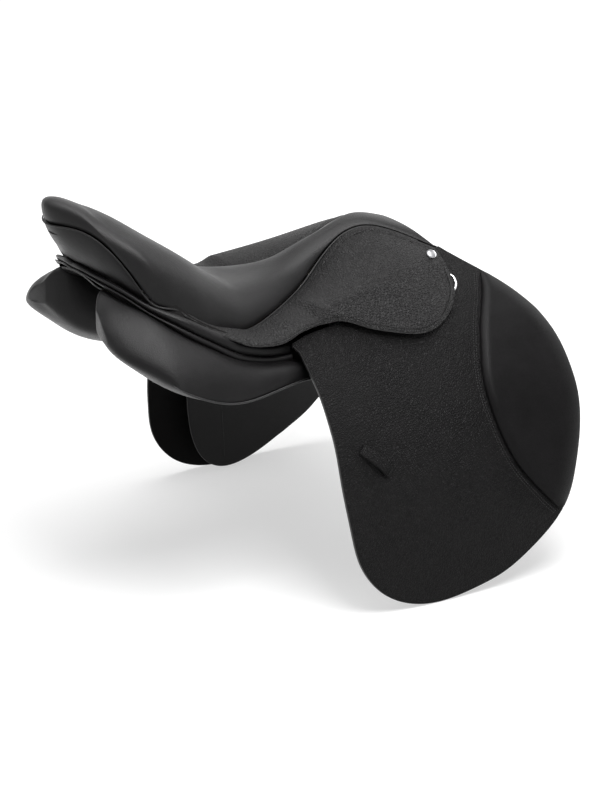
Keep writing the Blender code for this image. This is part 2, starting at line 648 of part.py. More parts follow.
def build_tree():
    """Laminated beech tree: head, two rails and cantle in one ring, with its metalwork."""
    frames = tree_frames()
    half = [lath_section(frame, -RAIL_HALF_THICKNESS, RAIL_HALF_THICKNESS) for frame in frames]
    other = [mirror_section(section) for section in half[-2:0:-1]]
    add("tree", loft(half + other, ring=True), ((0.50, 0.33, 0.18), 0.6))

    top = -RAIL_HALF_THICKNESS - 4 * GAP
    springs = [lath_section(frame, top - SPRING_THICKNESS, top, -0.008, 0.008) for frame in frames[4:13]]
    add_pair("spring_steel", loft(springs), ((0.30, 0.31, 0.33), 0.35, 0.9))

    arch = [(0.000, 0.1005), (0.018, 0.0975), (0.033, 0.0878), (0.046, 0.0770)]
    path = [Vector((0.171, y, z)) for y, z in arch]
    path += [side(0.171, v, POINT_LEVEL) for v in (0.070, 0.100, 0.134)]
    path = [mirrored_place(point) for point in path[:0:-1]] + path
    plate = cross_strip([[Vector((x, p.y, p.z)) for p in path] for x in (0.161, 0.181)], HEAD_PLATE_THICKNESS)
    add("head_plate", plate, ((0.35, 0.36, 0.38), 0.4, 0.9))


def cross_strip(paths, thickness):
    """Flat strip that crosses the saddle, from its path at each of a few places along X."""
    rows_out = []
    rows_in = []
    for i in range(len(paths[0])):
        row_out = []
        row_in = []
        for path in paths:
            ahead = path[min(i + 1, len(path) - 1)] - path[max(i - 1, 0)]
            normal = Vector((0.0, -ahead.z, ahead.y)).normalized() * thickness / 2
            row_out.append(path[i] + normal)
            row_in.append(path[i] - normal)
        rows_out.append(row_out)
        rows_in.append(row_in)
    return shell_between(rows_out, rows_in)


def web_path(x, over):
    """Path of a web over the tree and down inside both stirrup bars."""
    half = [Vector((x, y, z)) for y, z in over]
    half += [side(x, v, WEB_LEVEL) for v in (0.073, 0.085, 0.105, 0.125, 0.145, 0.165)]
    return [mirrored_place(point) for point in half[:0:-1]] + half


def build_webs():
    """Woven webs over the tree: two carry the billets, one the seat."""
    web = ((0.86, 0.84, 0.76), 0.9)
    path_ends = (
        (0.1530, ((0.000, 0.1034), (0.020, 0.1029), (0.038, 0.1003), (0.052, 0.0944), (0.064, 0.0876))),
        (0.1325, ((0.000, 0.0935), (0.020, 0.0925), (0.038, 0.0896), (0.052, 0.0853), (0.064, 0.0812))),
        (0.1270, ((0.000, 0.0910), (0.020, 0.0900), (0.037, 0.0868), (0.055, 0.0820), (0.068, 0.0775))),
        (0.1000, ((0.000, 0.0850), (0.020, 0.0842), (0.036, 0.0818), (0.055, 0.0772), (0.069, 0.0732))),
        (0.0730, ((0.000, 0.0720), (0.020, 0.0712), (0.036, 0.0690), (0.055, 0.0645), (0.067, 0.0615))),
    )
    paths = [web_path(x, over) for x, over in path_ends]
    front = paths[1::-1]
    rear = paths[:1:-1]
    add("girth_web_front", cross_strip(front, WEB_THICKNESS), web)
    add("girth_web_rear", cross_strip(rear, WEB_THICKNESS), web)

    frames = tree_frames()[6:12]
    rows_out = []
    rows_in = []
    for frame in frames:
        centre, outward, upward, half_width = frame
        edge = centre - outward * (half_width - 0.005) + upward * (RAIL_HALF_THICKNESS + 0.0028)
        row = []
        for share in (-1.0, -0.5, 0.0, 0.5, 1.0):
            lift = 0.004 * (1.0 - share * share) - 0.0014 * abs(share)
            row.append(Vector((edge.x, share * edge.y, edge.z + 0.0014 + lift)))
        rows_out.append([point + Vector((0.0, 0.0, 0.0007)) for point in row])
        rows_in.append([point - Vector((0.0, 0.0, 0.0007)) for point in row])
    add("seat_webbing", shell_between(rows_out, rows_in), web)


# Welt, cantle, skirt and roll


def welt_line():
    """Edge of the seat cover with its outward horizontal direction."""
    line = seat[:, -1]
    ahead = np.gradient(line, axis=0)
    places = []
    for point, step in zip(line, ahead):
        outward = Vector((step[1], -step[0], 0.0)).normalized()
        if outward.y < 0 or (abs(outward.y) < 1e-6 and outward.x > 0):
            outward = -outward
        places.append((Vector(point), outward))
    last, _ = places[-1]
    places[-1] = (last, Vector((-1.0, 0.0, 0.0)))
    return places


WELT = welt_line()
STRIP_END = 22
CANTLE_START = 23


def build_welt():
    """Piped welt that covers the seat's lower edge."""
    points = []
    for point, outward in WELT[1:]:
        share = abs(outward.y)
        points.append(point + outward * (0.0003 + 0.0016 * share) - Vector((0, 0, 0.0021 - 0.0005 * share)))
    points[-1].y = 0.0012
    add_tube_pair("seat_welt", points, WELT_RADIUS, ((0.015, 0.014, 0.015), 0.4))


def build_cantle_back():
    """Leather across the back of the cantle, between the seat's seam and the roll."""
    upper = []
    for point, outward in WELT[CANTLE_START:]:
        upper.append(point + outward * 0.0002 - Vector((0, 0, 0.0044)))
    upper[-1].y = 0.0
    count = len(upper) - 1
    lower = even_line(ROLL_TOP[:5], count)[::-1] + np.array((0.0, 0.0, 0.0022))
    lower[-1][1] = 0.0
    rows_out = []
    rows_in = []
    for r in range(count + 1):
        row = []
        for c in range(5):
            share = c / 4
            point = upper[r] * (1 - share) + Vector(lower[r]) * share
            bulge = 0.003 * math.sin(share * math.pi) * math.sin(min(r / 3, 1.0) * math.pi / 2)
            outward = WELT[CANTLE_START + r][1]
            row.append(point + outward * bulge)
        rows_out.append(row)
    normals = grid_normals(np.array(rows_out))
    facing = 1.0 if normals[-1][2][0] < 0 else -1.0
    for row, normal_row in zip(rows_out, normals):
        rows_in.append([point - Vector(normal) * (facing * 0.0024) for point, normal in zip(row, normal_row)])
    for row in rows_in:
        for point in row:
            point.y = max(point.y, 0.0)
    half_out = np.array(rows_out)
    half_in = np.array(rows_in)
    half_in[-1, :, 1] = 0.0
    flip = np.array((1.0, -1.0, 1.0))
    outer = np.concatenate((half_out, half_out[-2::-1] * flip))
    inner = np.concatenate((half_in, half_in[-2::-1] * flip))
    add("cantle_back", shell_between(outer, inner), (LEATHER, 0.45), smooth=50)


def arc_row(start, end, steps):
    """Points from the welt out to the skirt's bend, on a shallow arc."""
    reach = end - start
    rise = Vector((-reach.y * reach.x, 0.0, 0.0)) + Vector((0.0, -reach.z, reach.y))
    rise = (rise - reach * (rise.dot(reach) / reach.dot(reach))).normalized() * reach.length
    row = []
    for k in range(steps + 1):
        share = k / steps
        row.append(start.lerp(end, share) + rise * (4 * SKIRT_ARCH * share * (1 - share)))
    return row


def skirt_outer_line():
    """Where the fixed part of the skirt ends: its flex line, then its rear edge."""
    flex_rear, flex_front = SKIRT_FLEX
    line = []
    for k in range(8):
        share = k / 7
        x = flex_front[0] + (flex_rear[0] - flex_front[0]) * share
        v = flex_front[1] + (flex_rear[1] - flex_front[1]) * share
        line.append((x, v - GAP))
    line.append((0.0292, 0.1262))
    line += list(SKIRT_REAR_EDGE)
    outer = [side(x, v, SKIRT_OUTER) for x, v in line]
    inner = [side(x, v, SKIRT_INNER) for x, v in line]
    for x, y, z in ((-0.112, 0.1195, 0.0665), (-0.132, 0.1155, 0.0795)):
        outer.append(Vector((x, y, z + 0.0012)))
        inner.append(Vector((x, y - 0.0012, z - 0.0008)))
    return outer, inner


def build_skirt():
    """Skirt: the part fixed along the welt and the loose lobe over the stirrup bar."""
    outer_line, inner_line = skirt_outer_line()
    count = len(outer_line)
    welt = [point for point, outward in WELT[:STRIP_END]]
    outward = [out for point, out in WELT[:STRIP_END]]
    rows_out = []
    rows_in = []
    for r in range(count):
        target_x = outer_line[r].x
        xs = [point.x for point in welt][::-1]
        place = np.interp(min(target_x, welt[0].x), xs, list(range(len(welt)))[::-1])
        i = min(int(place), len(welt) - 2)
        t = place - i
        start = welt[i].lerp(welt[i + 1], t)
        out = outward[i].lerp(outward[i + 1], t).normalized()
        start = start + out * 0.0045
        top_start = start - Vector((0, 0, 0.0006))
        low_start = start - Vector((0, 0, 0.0030))
        rows_out.append(arc_row(top_start, outer_line[r], SKIRT_STEPS))
        rows_in.append(arc_row(low_start, inner_line[r], SKIRT_STEPS))
    add_pair("skirt", shell_between(rows_out, rows_in), (LEATHER, 0.5))

    flex_rear, flex_front = SKIRT_FLEX
    lobe = [(0.0302, flex_rear[1] + GAP)] + list(SKIRT_EDGE[:-1]) + [(flex_front[0], flex_front[1] + GAP)]
    axis_a = side(flex_rear[0], flex_rear[1], SKIRT_AXIS_LEVEL)
    axis_b = side(flex_front[0], flex_front[1], SKIRT_AXIS_LEVEL)
    pivot = (axis_a + axis_b) / 2
    add_pair("skirt_lobe", leather(lobe, SKIRT_INNER, SKIRT_OUTER, 0.03, 0.03), (LEATHER, 0.5), pivot)


def build_roll():
    """Stuffed roll along the panel's upper edge."""
    count = 22
    top = even_line(ROLL_TOP, count)
    low = even_line(ROLL_BOTTOM, count)
    sections = []
    for r in range(count + 1):
        a = Vector(top[r])
        b = Vector(low[r])
        middle = (a + b) / 2
        before = Vector(top[max(r - 1, 0)])
        after = Vector(top[min(r + 1, count)])
        outward = (after - before).cross(b - a).normalized()
        if outward.dot(Vector((-0.3, 1.0, 0.0))) < 0:
            outward = -outward
        if middle.y < 0.02:
            outward = Vector((-1.0, 0.0, 0.15)).normalized()
        section = []
        for turn in (0, 45, 90, 135, 180, 240, 300):
            angle = math.radians(turn)
            rise = 0.0052 if turn <= 180 else 0.0035
            section.append(middle + (a - b) * (0.5 * math.cos(angle)) + outward * (rise * math.sin(angle)))
        for point in section:
            point.y = max(point.y, 0.0006)
        sections.append(section)
    add_pair("panel_roll", loft(sections), (LEATHER_SOFT, 0.42), smooth=60)


# Panels


def bulged(a, b, count, sag, outward):
    """Points from a up to, but not onto, b on a shallow arc."""
    points = []
    for k in range(count):
        share = k / count
        points.append(a.lerp(b, share) + outward * (4 * sag * share * (1 - share)))
    return points


def panel_sections():
    """Closed sections of the left panel from back to front."""
    sections = []
    for x, *corners in PANEL:
        a, e, d, c, b = [Vector((y, z)) for y, z in corners]
        at_end = x < -0.195 or x > 0.20
        full = 0.5 if at_end else 1.0
        ring = bulged(a, e, 1, 0.0, Vector((0, 1)))
        ring += bulged(e, d, 1, 0.0, Vector((0, 1)))
        side_way = Vector((d.y - c.y, c.x - d.x)).normalized()
        ring += bulged(d, c, 4, 0.0065 * full, side_way)
        under_way = Vector((c.y - b.y, b.x - c.x)).normalized()
        ring += bulged(c, b, 5, 0.0070 * full, under_way)
        ring += bulged(b, a, 1, 0.0, Vector((0, 1)))
        sections.append([Vector((rear_lean(x, p), p.x, p.y)) for p in ring])
    return sections


def rear_lean(x, point):
    """Where a point of the panel at this section lies, with the lean of its rear end."""
    inner, outer = PANEL_LEAN_ACROSS
    across = min(max((point.x - inner) / (outer - inner), 0.0), 1.0)
    behind = min(max((PANEL_LEAN_START - x) / (PANEL_LEAN_START - PANEL_LEAN_FULL), 0.0), 1.0)
    return x - PANEL_LEAN * across * behind


def build_panels():
    """Flocked panels either side of the channel, the light piping on their lower edge and
    the lining that joins them over the channel."""
    sections = panel_sections()
    add_pair("panel", loft(sections), (LEATHER_SOFT, 0.42), smooth=60)

    edge = []
    for section in sections[:9]:
        edge.append(section[PANEL_OUTER_BOTTOM] + Vector((0.0, 0.0021, -0.0004)))
    points = spline(edge, 24)
    points[:, 0] -= np.linspace(0.0015, 0.0, len(points))
    add_tube_pair("panel_piping", points, 0.0012, ((0.35, 0.35, 0.36), 0.4))

    stations = (
        (0.1880, 0.0560, 0.0880), (0.1600, 0.0530, 0.0850), (0.1300, 0.0500, 0.0740),
        (0.1000, 0.0460, 0.0640), (0.0400, 0.0345, 0.0440), (-0.0130, 0.0290, 0.0345),
        (-0.0600, 0.0360, 0.0420), (-0.1000, 0.0480, 0.0560), (-0.1300, 0.0680, 0.0770),
        (-0.1550, 0.0860, 0.0930), (-0.1750, 0.0945, 0.1010), (-0.1900, 0.0965, 0.1040),
    )
    rows_out = []
    rows_in = []
    for x, edge_z, middle_z in stations:
        row_out = []
        row_in = []
        for share in (-1.0, -0.6, -0.2, 0.2, 0.6, 1.0):
            y = 0.0355 * share
            z = edge_z + (middle_z - edge_z) * (1.0 - share * share)
            row_out.append(Vector((x, y, z)))
            row_in.append(Vector((x, y * 0.955, z - 0.0018)))
        rows_out.append(row_out)
        rows_in.append(row_in)
    add("gullet_lining", shell_between(rows_out, rows_in), (LEATHER, 0.5))

    outer = (
        (0.000, 0.1085), (0.020, 0.1068), (0.036, 0.1028), (0.048, 0.0955), (0.056, 0.0860),
        (0.060, 0.0770),
    )
    inner = (
        (0.000, 0.0895), (0.014, 0.0875), (0.026, 0.0800), (0.034, 0.0700), (0.0385, 0.0640),
        (0.042, 0.0600),
    )
    rows_out = []
    rows_in = []
    for (y0, z0), (y1, z1) in zip(outer, inner):
        rows_out.append([Vector((0.1915, y0, z0)), Vector((0.1915, y1, z1))])
        rows_in.append([Vector((0.1893, y0, z0)), Vector((0.1893, y1, z1))])
    flip = [[mirrored_place(p) for p in row] for row in rows_out[:0:-1]]
    flip_in = [[mirrored_place(p) for p in row] for row in rows_in[:0:-1]]
    add("pommel_facing", shell_between(flip + rows_out, flip_in + rows_in), (LEATHER, 0.45))


# Flaps and what is sewn to them


def build_flaps():
    """Flap with its fixed top, knee pad and stirrup leather keeper."""
    pivot = side(0.12, FLAP_FLEX, FLAP_AXIS_LEVEL)
    above = FLAP_FLEX - FLAP_FLEX_HALF_GAP
    below = FLAP_FLEX + FLAP_FLEX_HALF_GAP
    front_above = [point for point in FLAP_FRONT if point[1] < above]
    front_below = [point for point in FLAP_FRONT if point[1] > below]
    root = [FLAP_REAR[0], FLAP_REAR[1], (0.3050, above)] + front_above + list(FLAP_ROOT_TOP)
    add_pair("flap_root", leather(root, -FLAP_LEATHER, 0.0, 0.025, 0.02), (LEATHER, 0.5))
    lower = [(-0.0094, below)] + list(FLAP_REAR[2:]) + front_below + [(0.3058, below)]
    add_pair("flap", leather(lower, -FLAP_LEATHER, 0.0), (LEATHER, 0.5), pivot)

    front = [(x - 0.0022, v) for x, v in FLAP_FRONT if 0.09 < v < 0.372]
    pad = list(KNEE_SEAM) + front
    above_seam = [point for point in KNEE_SEAM if point[1] < above]
    below_seam = [point for point in KNEE_SEAM if point[1] > below]
    above_front = [point for point in front if point[1] < above]
    below_front = [point for point in front if point[1] > below]
    crown = (KNEE_PAD_RIM, KNEE_PAD_HEIGHT, KNEE_PAD_SLOPE_WIDTH, pad)
    top = above_seam + [(0.2085, above), (0.3028, above)] + above_front
    low = [(0.2082, below)] + below_seam + below_front + [(0.3035, below)]
    look = (LEATHER_SOFT, 0.42)
    add_pair("knee_pad_top", leather(top, GAP, 0.0, 0.02, 0.02, crown), look, smooth=50)
    add_pair("knee_pad", leather(low, GAP, 0.0, 0.02, 0.02, crown), look, pivot, smooth=50)

    (x0, v0), (x1, v1) = KEEPER_LINE
    line = []
    lows = []
    for share in (0.0, 0.15, 0.30, 0.50, 0.70, 0.85, 1.0):
        line.append((x0 + (x1 - x0) * share, v0 + (v1 - v0) * share))
        along = min(max((share - 0.1) / 0.8, 0.0), 1.0)
        lows.append(GAP + (KEEPER_ARCH - GAP) * math.sin(math.pi * along) ** 0.5)
    highs = [low_level + KEEPER_THICKNESS for low_level in lows]
    add_pair("leather_keeper", band(line, KEEPER_WIDTH, lows, highs), (LEATHER, 0.5), pivot)


def build_under_flap():
    """Sweat flap, knee block, billets and buckle guard."""
    add_pair("sweat_flap", leather(SWEAT_FLAP, SWEAT_INNER, SWEAT_OUTER), (LEATHER, 0.5))
    crown = (0.003, 0.0150, 0.022, list(KNEE_BLOCK))
    block = leather(KNEE_BLOCK, SWEAT_OUTER + GAP, 0.0, 0.02, 0.02, crown)
    add_pair("knee_block", block, (LEATHER_SOFT, 0.42), smooth=50)

    pivot = side(0.115, BILLET_PIVOT_V, -0.014)
    steps = (BILLET_TOP, 0.150, 0.17, 0.19, 0.21, 0.23, 0.25, 0.27, 0.29, 0.31, 0.34, 0.38, 0.400, BILLET_END)
    for name, x in BILLET_CENTRES:
        line = [(x, v) for v in steps]
        strap = band(line, BILLET_WIDTH, [BILLET_INNER] * len(steps), [BILLET_OUTER] * len(steps), 0.45)
        add_pair("billet_" + name, strap, (LEATHER, 0.5), pivot)

    rings = []
    levels = ((0.0680, 0.1620, -0.0182, -0.0092), (0.0702, 0.1598, -0.0165, -0.0115))
    places = (0.185, 0.1986, 0.2122, 0.2258, 0.240)
    for (x0, x1, low, high), order in zip(levels, (places, places[::-1])):
        for v in order:
            rings.append((side(x0, v, low), side(x0, v, high), side(x1, v, high), side(x1, v, low)))
    add_pair("buckle_guard", loft(rings, ring=True), (LEATHER, 0.5), guard_centre())


def guard_centre():
    """Centre of the arc that the side surface follows under the buckle guard."""
    (v0, slope0), (v1, slope1) = SIDE_SLOPES[2], SIDE_SLOPES[3]
    radius = (v1 - v0) / math.radians(slope1 - slope0)
    start = side(0.12, v0)
    angle = math.radians(slope0)
    return Vector((0.115, start.y - radius * math.sin(angle), start.z - radius * math.cos(angle)))


# Metal fittings


def bar_place(x, s, d):
    """Point in the stirrup bar's flat frame: s down and d outward."""
    base = side(0.10, BAR_V)
    angle = math.radians(BAR_SLOPE)
    return Vector((x, base.y + s * math.cos(angle) + d * math.sin(angle),
                   base.z - s * math.sin(angle) + d * math.cos(angle)))


def bar_prism(profile, s_low, s_high):
    """Solid from an outline in x and d, between two heights in the bar's frame."""
    return loft([[bar_place(x, s, d) for x, d in profile] for s in (s_low, s_high)])


def build_bars():
    """Stirrup bars with their safety catches, catch pins and bolts."""
    outward = bar_place(0, 0, 1) - bar_place(0, 0, 0)
    pin_place = bar_place(CATCH_PIN_X, 0.0, 0.0)
    bar = bar_prism(BAR_PROFILE, -BAR_HALF_HEIGHT, BAR_HALF_HEIGHT)
    bars = add_pair("stirrup_bar", bar, (STEEL, 0.3, 1.0))
    catch = bar_prism(CATCH_PROFILE, -0.0115, 0.0050)
    catches = add_pair("stirrup_bar_catch", catch, (STEEL, 0.3, 1.0), pin_place)
    for obj in bars + catches:
        on_left = obj.name.endswith("left")
        centre = pin_place if on_left else mirrored_place(pin_place)
        way = outward if on_left else mirrored_place(outward)
        cutter = add_turned("hole_" + obj.name, HOLE_PROFILE, centre, way, (STEEL, 0.3))
        cut(obj, cutter)
    add_turned_pair("catch_pin", PIN_PROFILE, pin_place, outward, (STEEL, 0.25, 1.0))
    bolt_place = bar_place(BAR_BOLT_X, 0.0, 0.0005 + GAP)
    add_turned_pair("stirrup_bar_bolt", BOLT_PROFILE, bolt_place, outward, (STEEL, 0.35, 1.0))


def build_dees():
    """Dee rings, the leather chapes that hold them and the pommel studs."""
    a = side(*DEE_BAR[0], DEE_LEVEL)
    b = side(*DEE_BAR[1], DEE_LEVEL)
    pivot = (a + b) / 2
    points = [a, a.lerp(b, 0.5), b] + [side(x, v, DEE_LEVEL) for x, v in DEE_BOW[::-1]]
    add_tube_pair("dee_ring", points, DEE_WIRE / 2, ((0.75, 0.75, 0.76), 0.2, 1.0), pivot, True)

    middle = (Vector(DEE_BAR[0]) + Vector(DEE_BAR[1])) / 2
    along = (Vector(DEE_BAR[1]) - Vector(DEE_BAR[0])).normalized()
    inward = Vector((-along.y, along.x))
    if inward.x > 0:
        inward = -inward
    reaches = (0.026, 0.018, 0.010, 0.004, -0.0030)
    profile = [(u, 0.0005) for u in reaches] + [(u, 0.0055) for u in reaches[::-1]]
    profile += [(u, 0.0048) for u in reaches[:-1]] + [(-0.0022, 0.0048)]
    profile += [(-0.0022, 0.0010)] + [(u, 0.0010) for u in reaches[-2::-1]]
    sections = []
    for reach in (-0.0085, 0.0, 0.0085):
        spots = [(middle + along * reach + inward * u, d) for u, d in profile]
        sections.append([side(spot.x, spot.y, d) for spot, d in spots])
    add_pair("dee_chape", loft(sections), (LEATHER, 0.5))

    face = side(*STUD_PLACE, 0.0)
    way = (side(*STUD_PLACE, 0.1) - face).normalized()
    profile = (
        (0.0, 0.0028), (0.0020, 0.0026), (0.0040, 0.0018), (STUD_DIAMETER / 2, 0.0006),
        (STUD_DIAMETER / 2, 0.0), (0.0, 0.0),
    )
    look = ((0.75, 0.75, 0.76), 0.2, 1.0)
    add_turned_pair("pommel_stud", profile, face + way * STUD_LEVEL, way, look)


build_seat_cover()
build_seat_foam()
build_tree()
build_webs()
build_welt()
build_cantle_back()
build_skirt()
build_roll()
build_panels()
build_flaps()
build_under_flap()
build_bars()
build_dees()
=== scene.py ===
# The look of the jumping saddle: black leather, flocked panels and plain metal fittings.
# Metres, in the same frame as the solids; tables are in millimetres. The left half is modelled and mirrored.

import math

import bmesh
import bpy
import numpy as np
from mathutils import Matrix, Vector, geometry


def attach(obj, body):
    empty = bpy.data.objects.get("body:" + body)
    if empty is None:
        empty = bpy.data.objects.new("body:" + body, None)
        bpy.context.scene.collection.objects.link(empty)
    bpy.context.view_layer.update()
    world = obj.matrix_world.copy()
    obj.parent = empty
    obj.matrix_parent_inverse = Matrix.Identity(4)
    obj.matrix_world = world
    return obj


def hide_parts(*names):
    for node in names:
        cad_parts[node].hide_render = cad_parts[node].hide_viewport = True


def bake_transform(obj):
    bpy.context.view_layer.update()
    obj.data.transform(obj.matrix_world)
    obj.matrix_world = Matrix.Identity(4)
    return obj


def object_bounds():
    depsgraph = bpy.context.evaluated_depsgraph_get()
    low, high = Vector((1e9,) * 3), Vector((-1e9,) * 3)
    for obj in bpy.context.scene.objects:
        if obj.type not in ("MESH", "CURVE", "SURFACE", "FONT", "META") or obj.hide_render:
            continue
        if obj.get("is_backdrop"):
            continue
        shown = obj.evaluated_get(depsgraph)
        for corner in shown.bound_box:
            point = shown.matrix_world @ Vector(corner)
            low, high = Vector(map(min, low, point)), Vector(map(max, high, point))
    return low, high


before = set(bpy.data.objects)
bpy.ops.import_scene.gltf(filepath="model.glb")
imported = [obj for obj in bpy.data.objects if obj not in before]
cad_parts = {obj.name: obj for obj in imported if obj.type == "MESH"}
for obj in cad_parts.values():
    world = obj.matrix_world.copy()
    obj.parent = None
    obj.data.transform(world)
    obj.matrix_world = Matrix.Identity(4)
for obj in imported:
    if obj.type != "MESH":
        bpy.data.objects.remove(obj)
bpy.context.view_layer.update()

FLIP = np.array((1.0, -1.0, 1.0))
UP = np.array((0.0, 0.0, 1.0))


def metres(table):
    """Table of millimetres as an array of metres."""
    return np.array(table, float) / 1000.0



# Side surface that the flaps, skirts and straps follow
SIDE_TOP = (0.030, 0.120)
SIDE_SLOPES = (
    (0.000, 14.0), (0.055, 42.0), (0.150, 45.0), (0.300, 73.0), (0.380, 83.0), (0.460, 87.0),
)
SIDE_FLARE = 0.045
POMMEL_DROP = 0.010

FLAP_LEATHER = 0.0038
SKIRT_OUTER = 0.0084
SWEAT_OUTER = -0.0205
SWEAT_INNER = -0.0235
BILLET_OUTER = -0.0123
BILLET_INNER = -0.0158

# Seat: for each station from pommel to cantle, points from the centre line out to the welt
SEAT = metres((
    ((195, 0, 114.5), (198.5, 21, 112), (202.5, 39, 107.5), (209, 53.5, 100), (217.5, 66, 90.5)), ((160, 0, 122.5),
    (161, 10, 122), (162, 18, 120.5), (164, 24.5, 118), (166.5, 30, 113.5)), ((130, 0, 118.5), (130, 6, 118.3),
    (131, 11, 117.5), (132, 14.5, 116), (133.5, 17.5, 113.5)), ((104, 0, 108.5), (104, 6, 108.3), (105, 11, 107),
    (106.5, 15.5, 104.8), (108, 18.5, 101.5)), ((72, 0, 96), (73, 9, 95.2), (74, 17, 92.5), (77, 22.5, 87),
    (79, 26, 79.7)), ((32, 0, 81), (33, 16, 80.5), (35, 29, 77.5), (38, 38, 70), (41, 45, 59.5)), ((-25, 0, 79),
    (-26, 30, 79.5), (-27, 55, 75.5), (-29, 73, 63), (-30, 84, 45.5)), ((-62, 0, 97.5), (-62, 35, 97),
    (-62, 63, 91), (-62, 83, 74), (-62, 95, 50)), ((-98, 0, 123.5), (-97, 38, 122.5), (-96, 70, 114.5),
    (-94, 91, 93), (-91, 104, 60)), ((-130, 0, 145.5), (-129, 38, 143.5), (-127, 72, 135), (-123, 95, 111),
    (-116, 106, 74)), ((-155, 0, 162.5), (-156, 35, 160.5), (-155, 70, 150), (-150, 95, 128), (-140, 106, 87.5)),
    ((-172, 0, 172), (-177, 32, 172), (-177, 62, 161.5), (-170, 88, 141), (-161, 98, 96)), ((-183, 0, 177.5),
    (-190, 22, 178), (-194, 45, 174.5), (-193, 66, 158), (-180, 80, 130)), ((-191, 0, 181), (-198, 13, 184),
    (-204.5, 26, 185), (-211, 37, 181), (-208, 45, 164)), ((-197, 0, 184), (-209, 0, 189), (-221, 0, 192),
    (-231.5, 0, 187), (-229, 0, 167)),
))
SEAT_ROWS = 168
SEAT_COLUMNS = 32
# Where the welt leaves the skirt and becomes the cantle's seam, in rows of the seat
CANTLE_ROW = 135

# The stuffed roll between the cantle or skirt and the panel: its upper and lower edges
ROLL_TOP = metres((
    (-198.5, 1.2, 120), (-198.5, 15, 120.5), (-193.5, 35, 116.5), (-189, 50, 113), (-173, 80, 101),
    (-155, 100, 89.5), (-132, 115, 78.5), (-112, 120, 67), (-91, 125, 56), (-66, 125, 44), (-40, 122, 35),
    (-14, 120, 32),
))
ROLL_BOTTOM = metres((
    (-200.5, 1.2, 111), (-200.5, 15, 111.5), (-196.5, 35, 108.5), (-194, 50, 105.5), (-180, 80, 94.5),
    (-160, 100, 79), (-145, 115, 68), (-127, 125, 55.5), (-106, 130, 43), (-84, 135, 30), (-60, 135, 22),
    (-36, 135, 18), (-15, 135, 18),
))
# How far the cantle's lower edge stands out over the roll at the centre line
CANTLE_TUCK = (-0.0012, 0.0, 0.0005)

# Panel sections: x, then y and z of inner top, middle top, outer top, outer bottom and inner bottom
PANEL = metres((
    (-195.5, 43, 106, 51, 104, 63, 94, 124, 45, 43, 47), (-192.5, 37.5, 110, 47, 109, 61, 101, 140, 39, 37.5, 41),
    (-185, 37, 110, 52, 107.5, 69, 100.5, 150, 31, 37, 34.5), (-175, 37, 105, 60, 99, 86, 94, 156, 25, 37, 27.5),
    (-155, 37, 88, 70, 83, 104, 78.5, 162, 13, 37, 23.5), (-130, 37, 70, 80, 62, 123, 59.5, 163, 1, 37, 19.5),
    (-100, 37, 50, 88, 42, 131, 41.5, 163, -8, 37, 14), (-60, 37, 38, 88, 28, 134, 24, 159, -6, 37, 10),
    (-15, 37, 31, 85, 22, 133, 17.5, 152, 0, 38, 6), (30, 39, 35, 85, 22, 127, 4, 143, -8, 40, 4),
    (70, 40, 43, 88, 26, 135, -2, 147, -38, 42, 10), (110, 42, 50, 92, 22, 146, -10, 150, -66, 46, 18),
    (150, 44, 55, 95, 18, 149, -14, 146, -80, 50, 24), (185, 48, 55, 95, 17, 143, -12, 138, -68, 56, 28),
    (205, 56, 46, 90, 18, 122, 0, 116, -36, 66, 22),
))
# How far the underside hangs below its corners: x, depth
PANEL_SAG = metres((
    (-195.5, 3), (-185, 6), (-175, 9), (-155, 14), (-130, 17), (-100, 14), (-60, 11), (-15, 8),
))
PANEL_END = 0.011
PANEL_FRONT_END = 0.006
PANEL_EVENING = 25
PANEL_PRESSURE = 4.0
PANEL_SWELL = 0.0025
CLOTH_FRAMES = 20
# Near its rear end the panel leans back, more so further out
PANEL_LEAN = 0.0100
PANEL_LEAN_START = -0.178
PANEL_LEAN_FULL = -0.1955
PANEL_LEAN_ACROSS = (0.05, 0.11)

# Outlines on the side surface: x and length down from the top
FLAP_EDGE = metres((
    (-11.5, 150), (-9.5, 173.5), (-6.5, 200), (-5, 230), (-4, 256), (-4, 299), (1, 352), (8, 388), (18, 408),
    (38, 430), (69, 446), (90, 450.5), (128, 449.5), (152, 445), (188, 435), (226, 414), (255, 392), (275, 369),
    (290, 335), (306, 284), (312, 249), (312, 221), (308, 183), (297, 149), (281, 118), (261, 91), (240, 67),
    (219, 41.5),
))
FLAP_TOP = metres((
    (211.5, 41.5), (207, 60), (180, 67), (170, 78), (166, 108), (166, 122.5), (62, 122.5), (57, 124.5), (42, 124.5),
    (36, 125.5), (5, 131), (-18, 139),
))
KNEE_SEAM = metres((
    (251, 89), (242, 110), (230, 132), (218, 153), (209, 172), (202, 190), (196, 208), (193, 226), (193, 247),
    (196, 269), (203, 294), (216, 321), (236, 347), (255, 368), (263.5, 376),
))
SKIRT_EDGE = metres((
    (30, 126.5), (42, 126), (58, 131), (74, 140), (94, 148), (117, 155), (137, 158), (160, 153), (181, 139),
    (194, 124), (201, 113), (208, 84), (208.5, 72),
))
SKIRT_FLEX = metres(((30, 112), (208.5, 72)))
SKIRT_REAR_EDGE = metres(((-94, 121), (-74, 134), (-53, 140), (-28, 140), (-6, 132), (21, 126.5)))
SKIRT_ROUNDING = 0.45
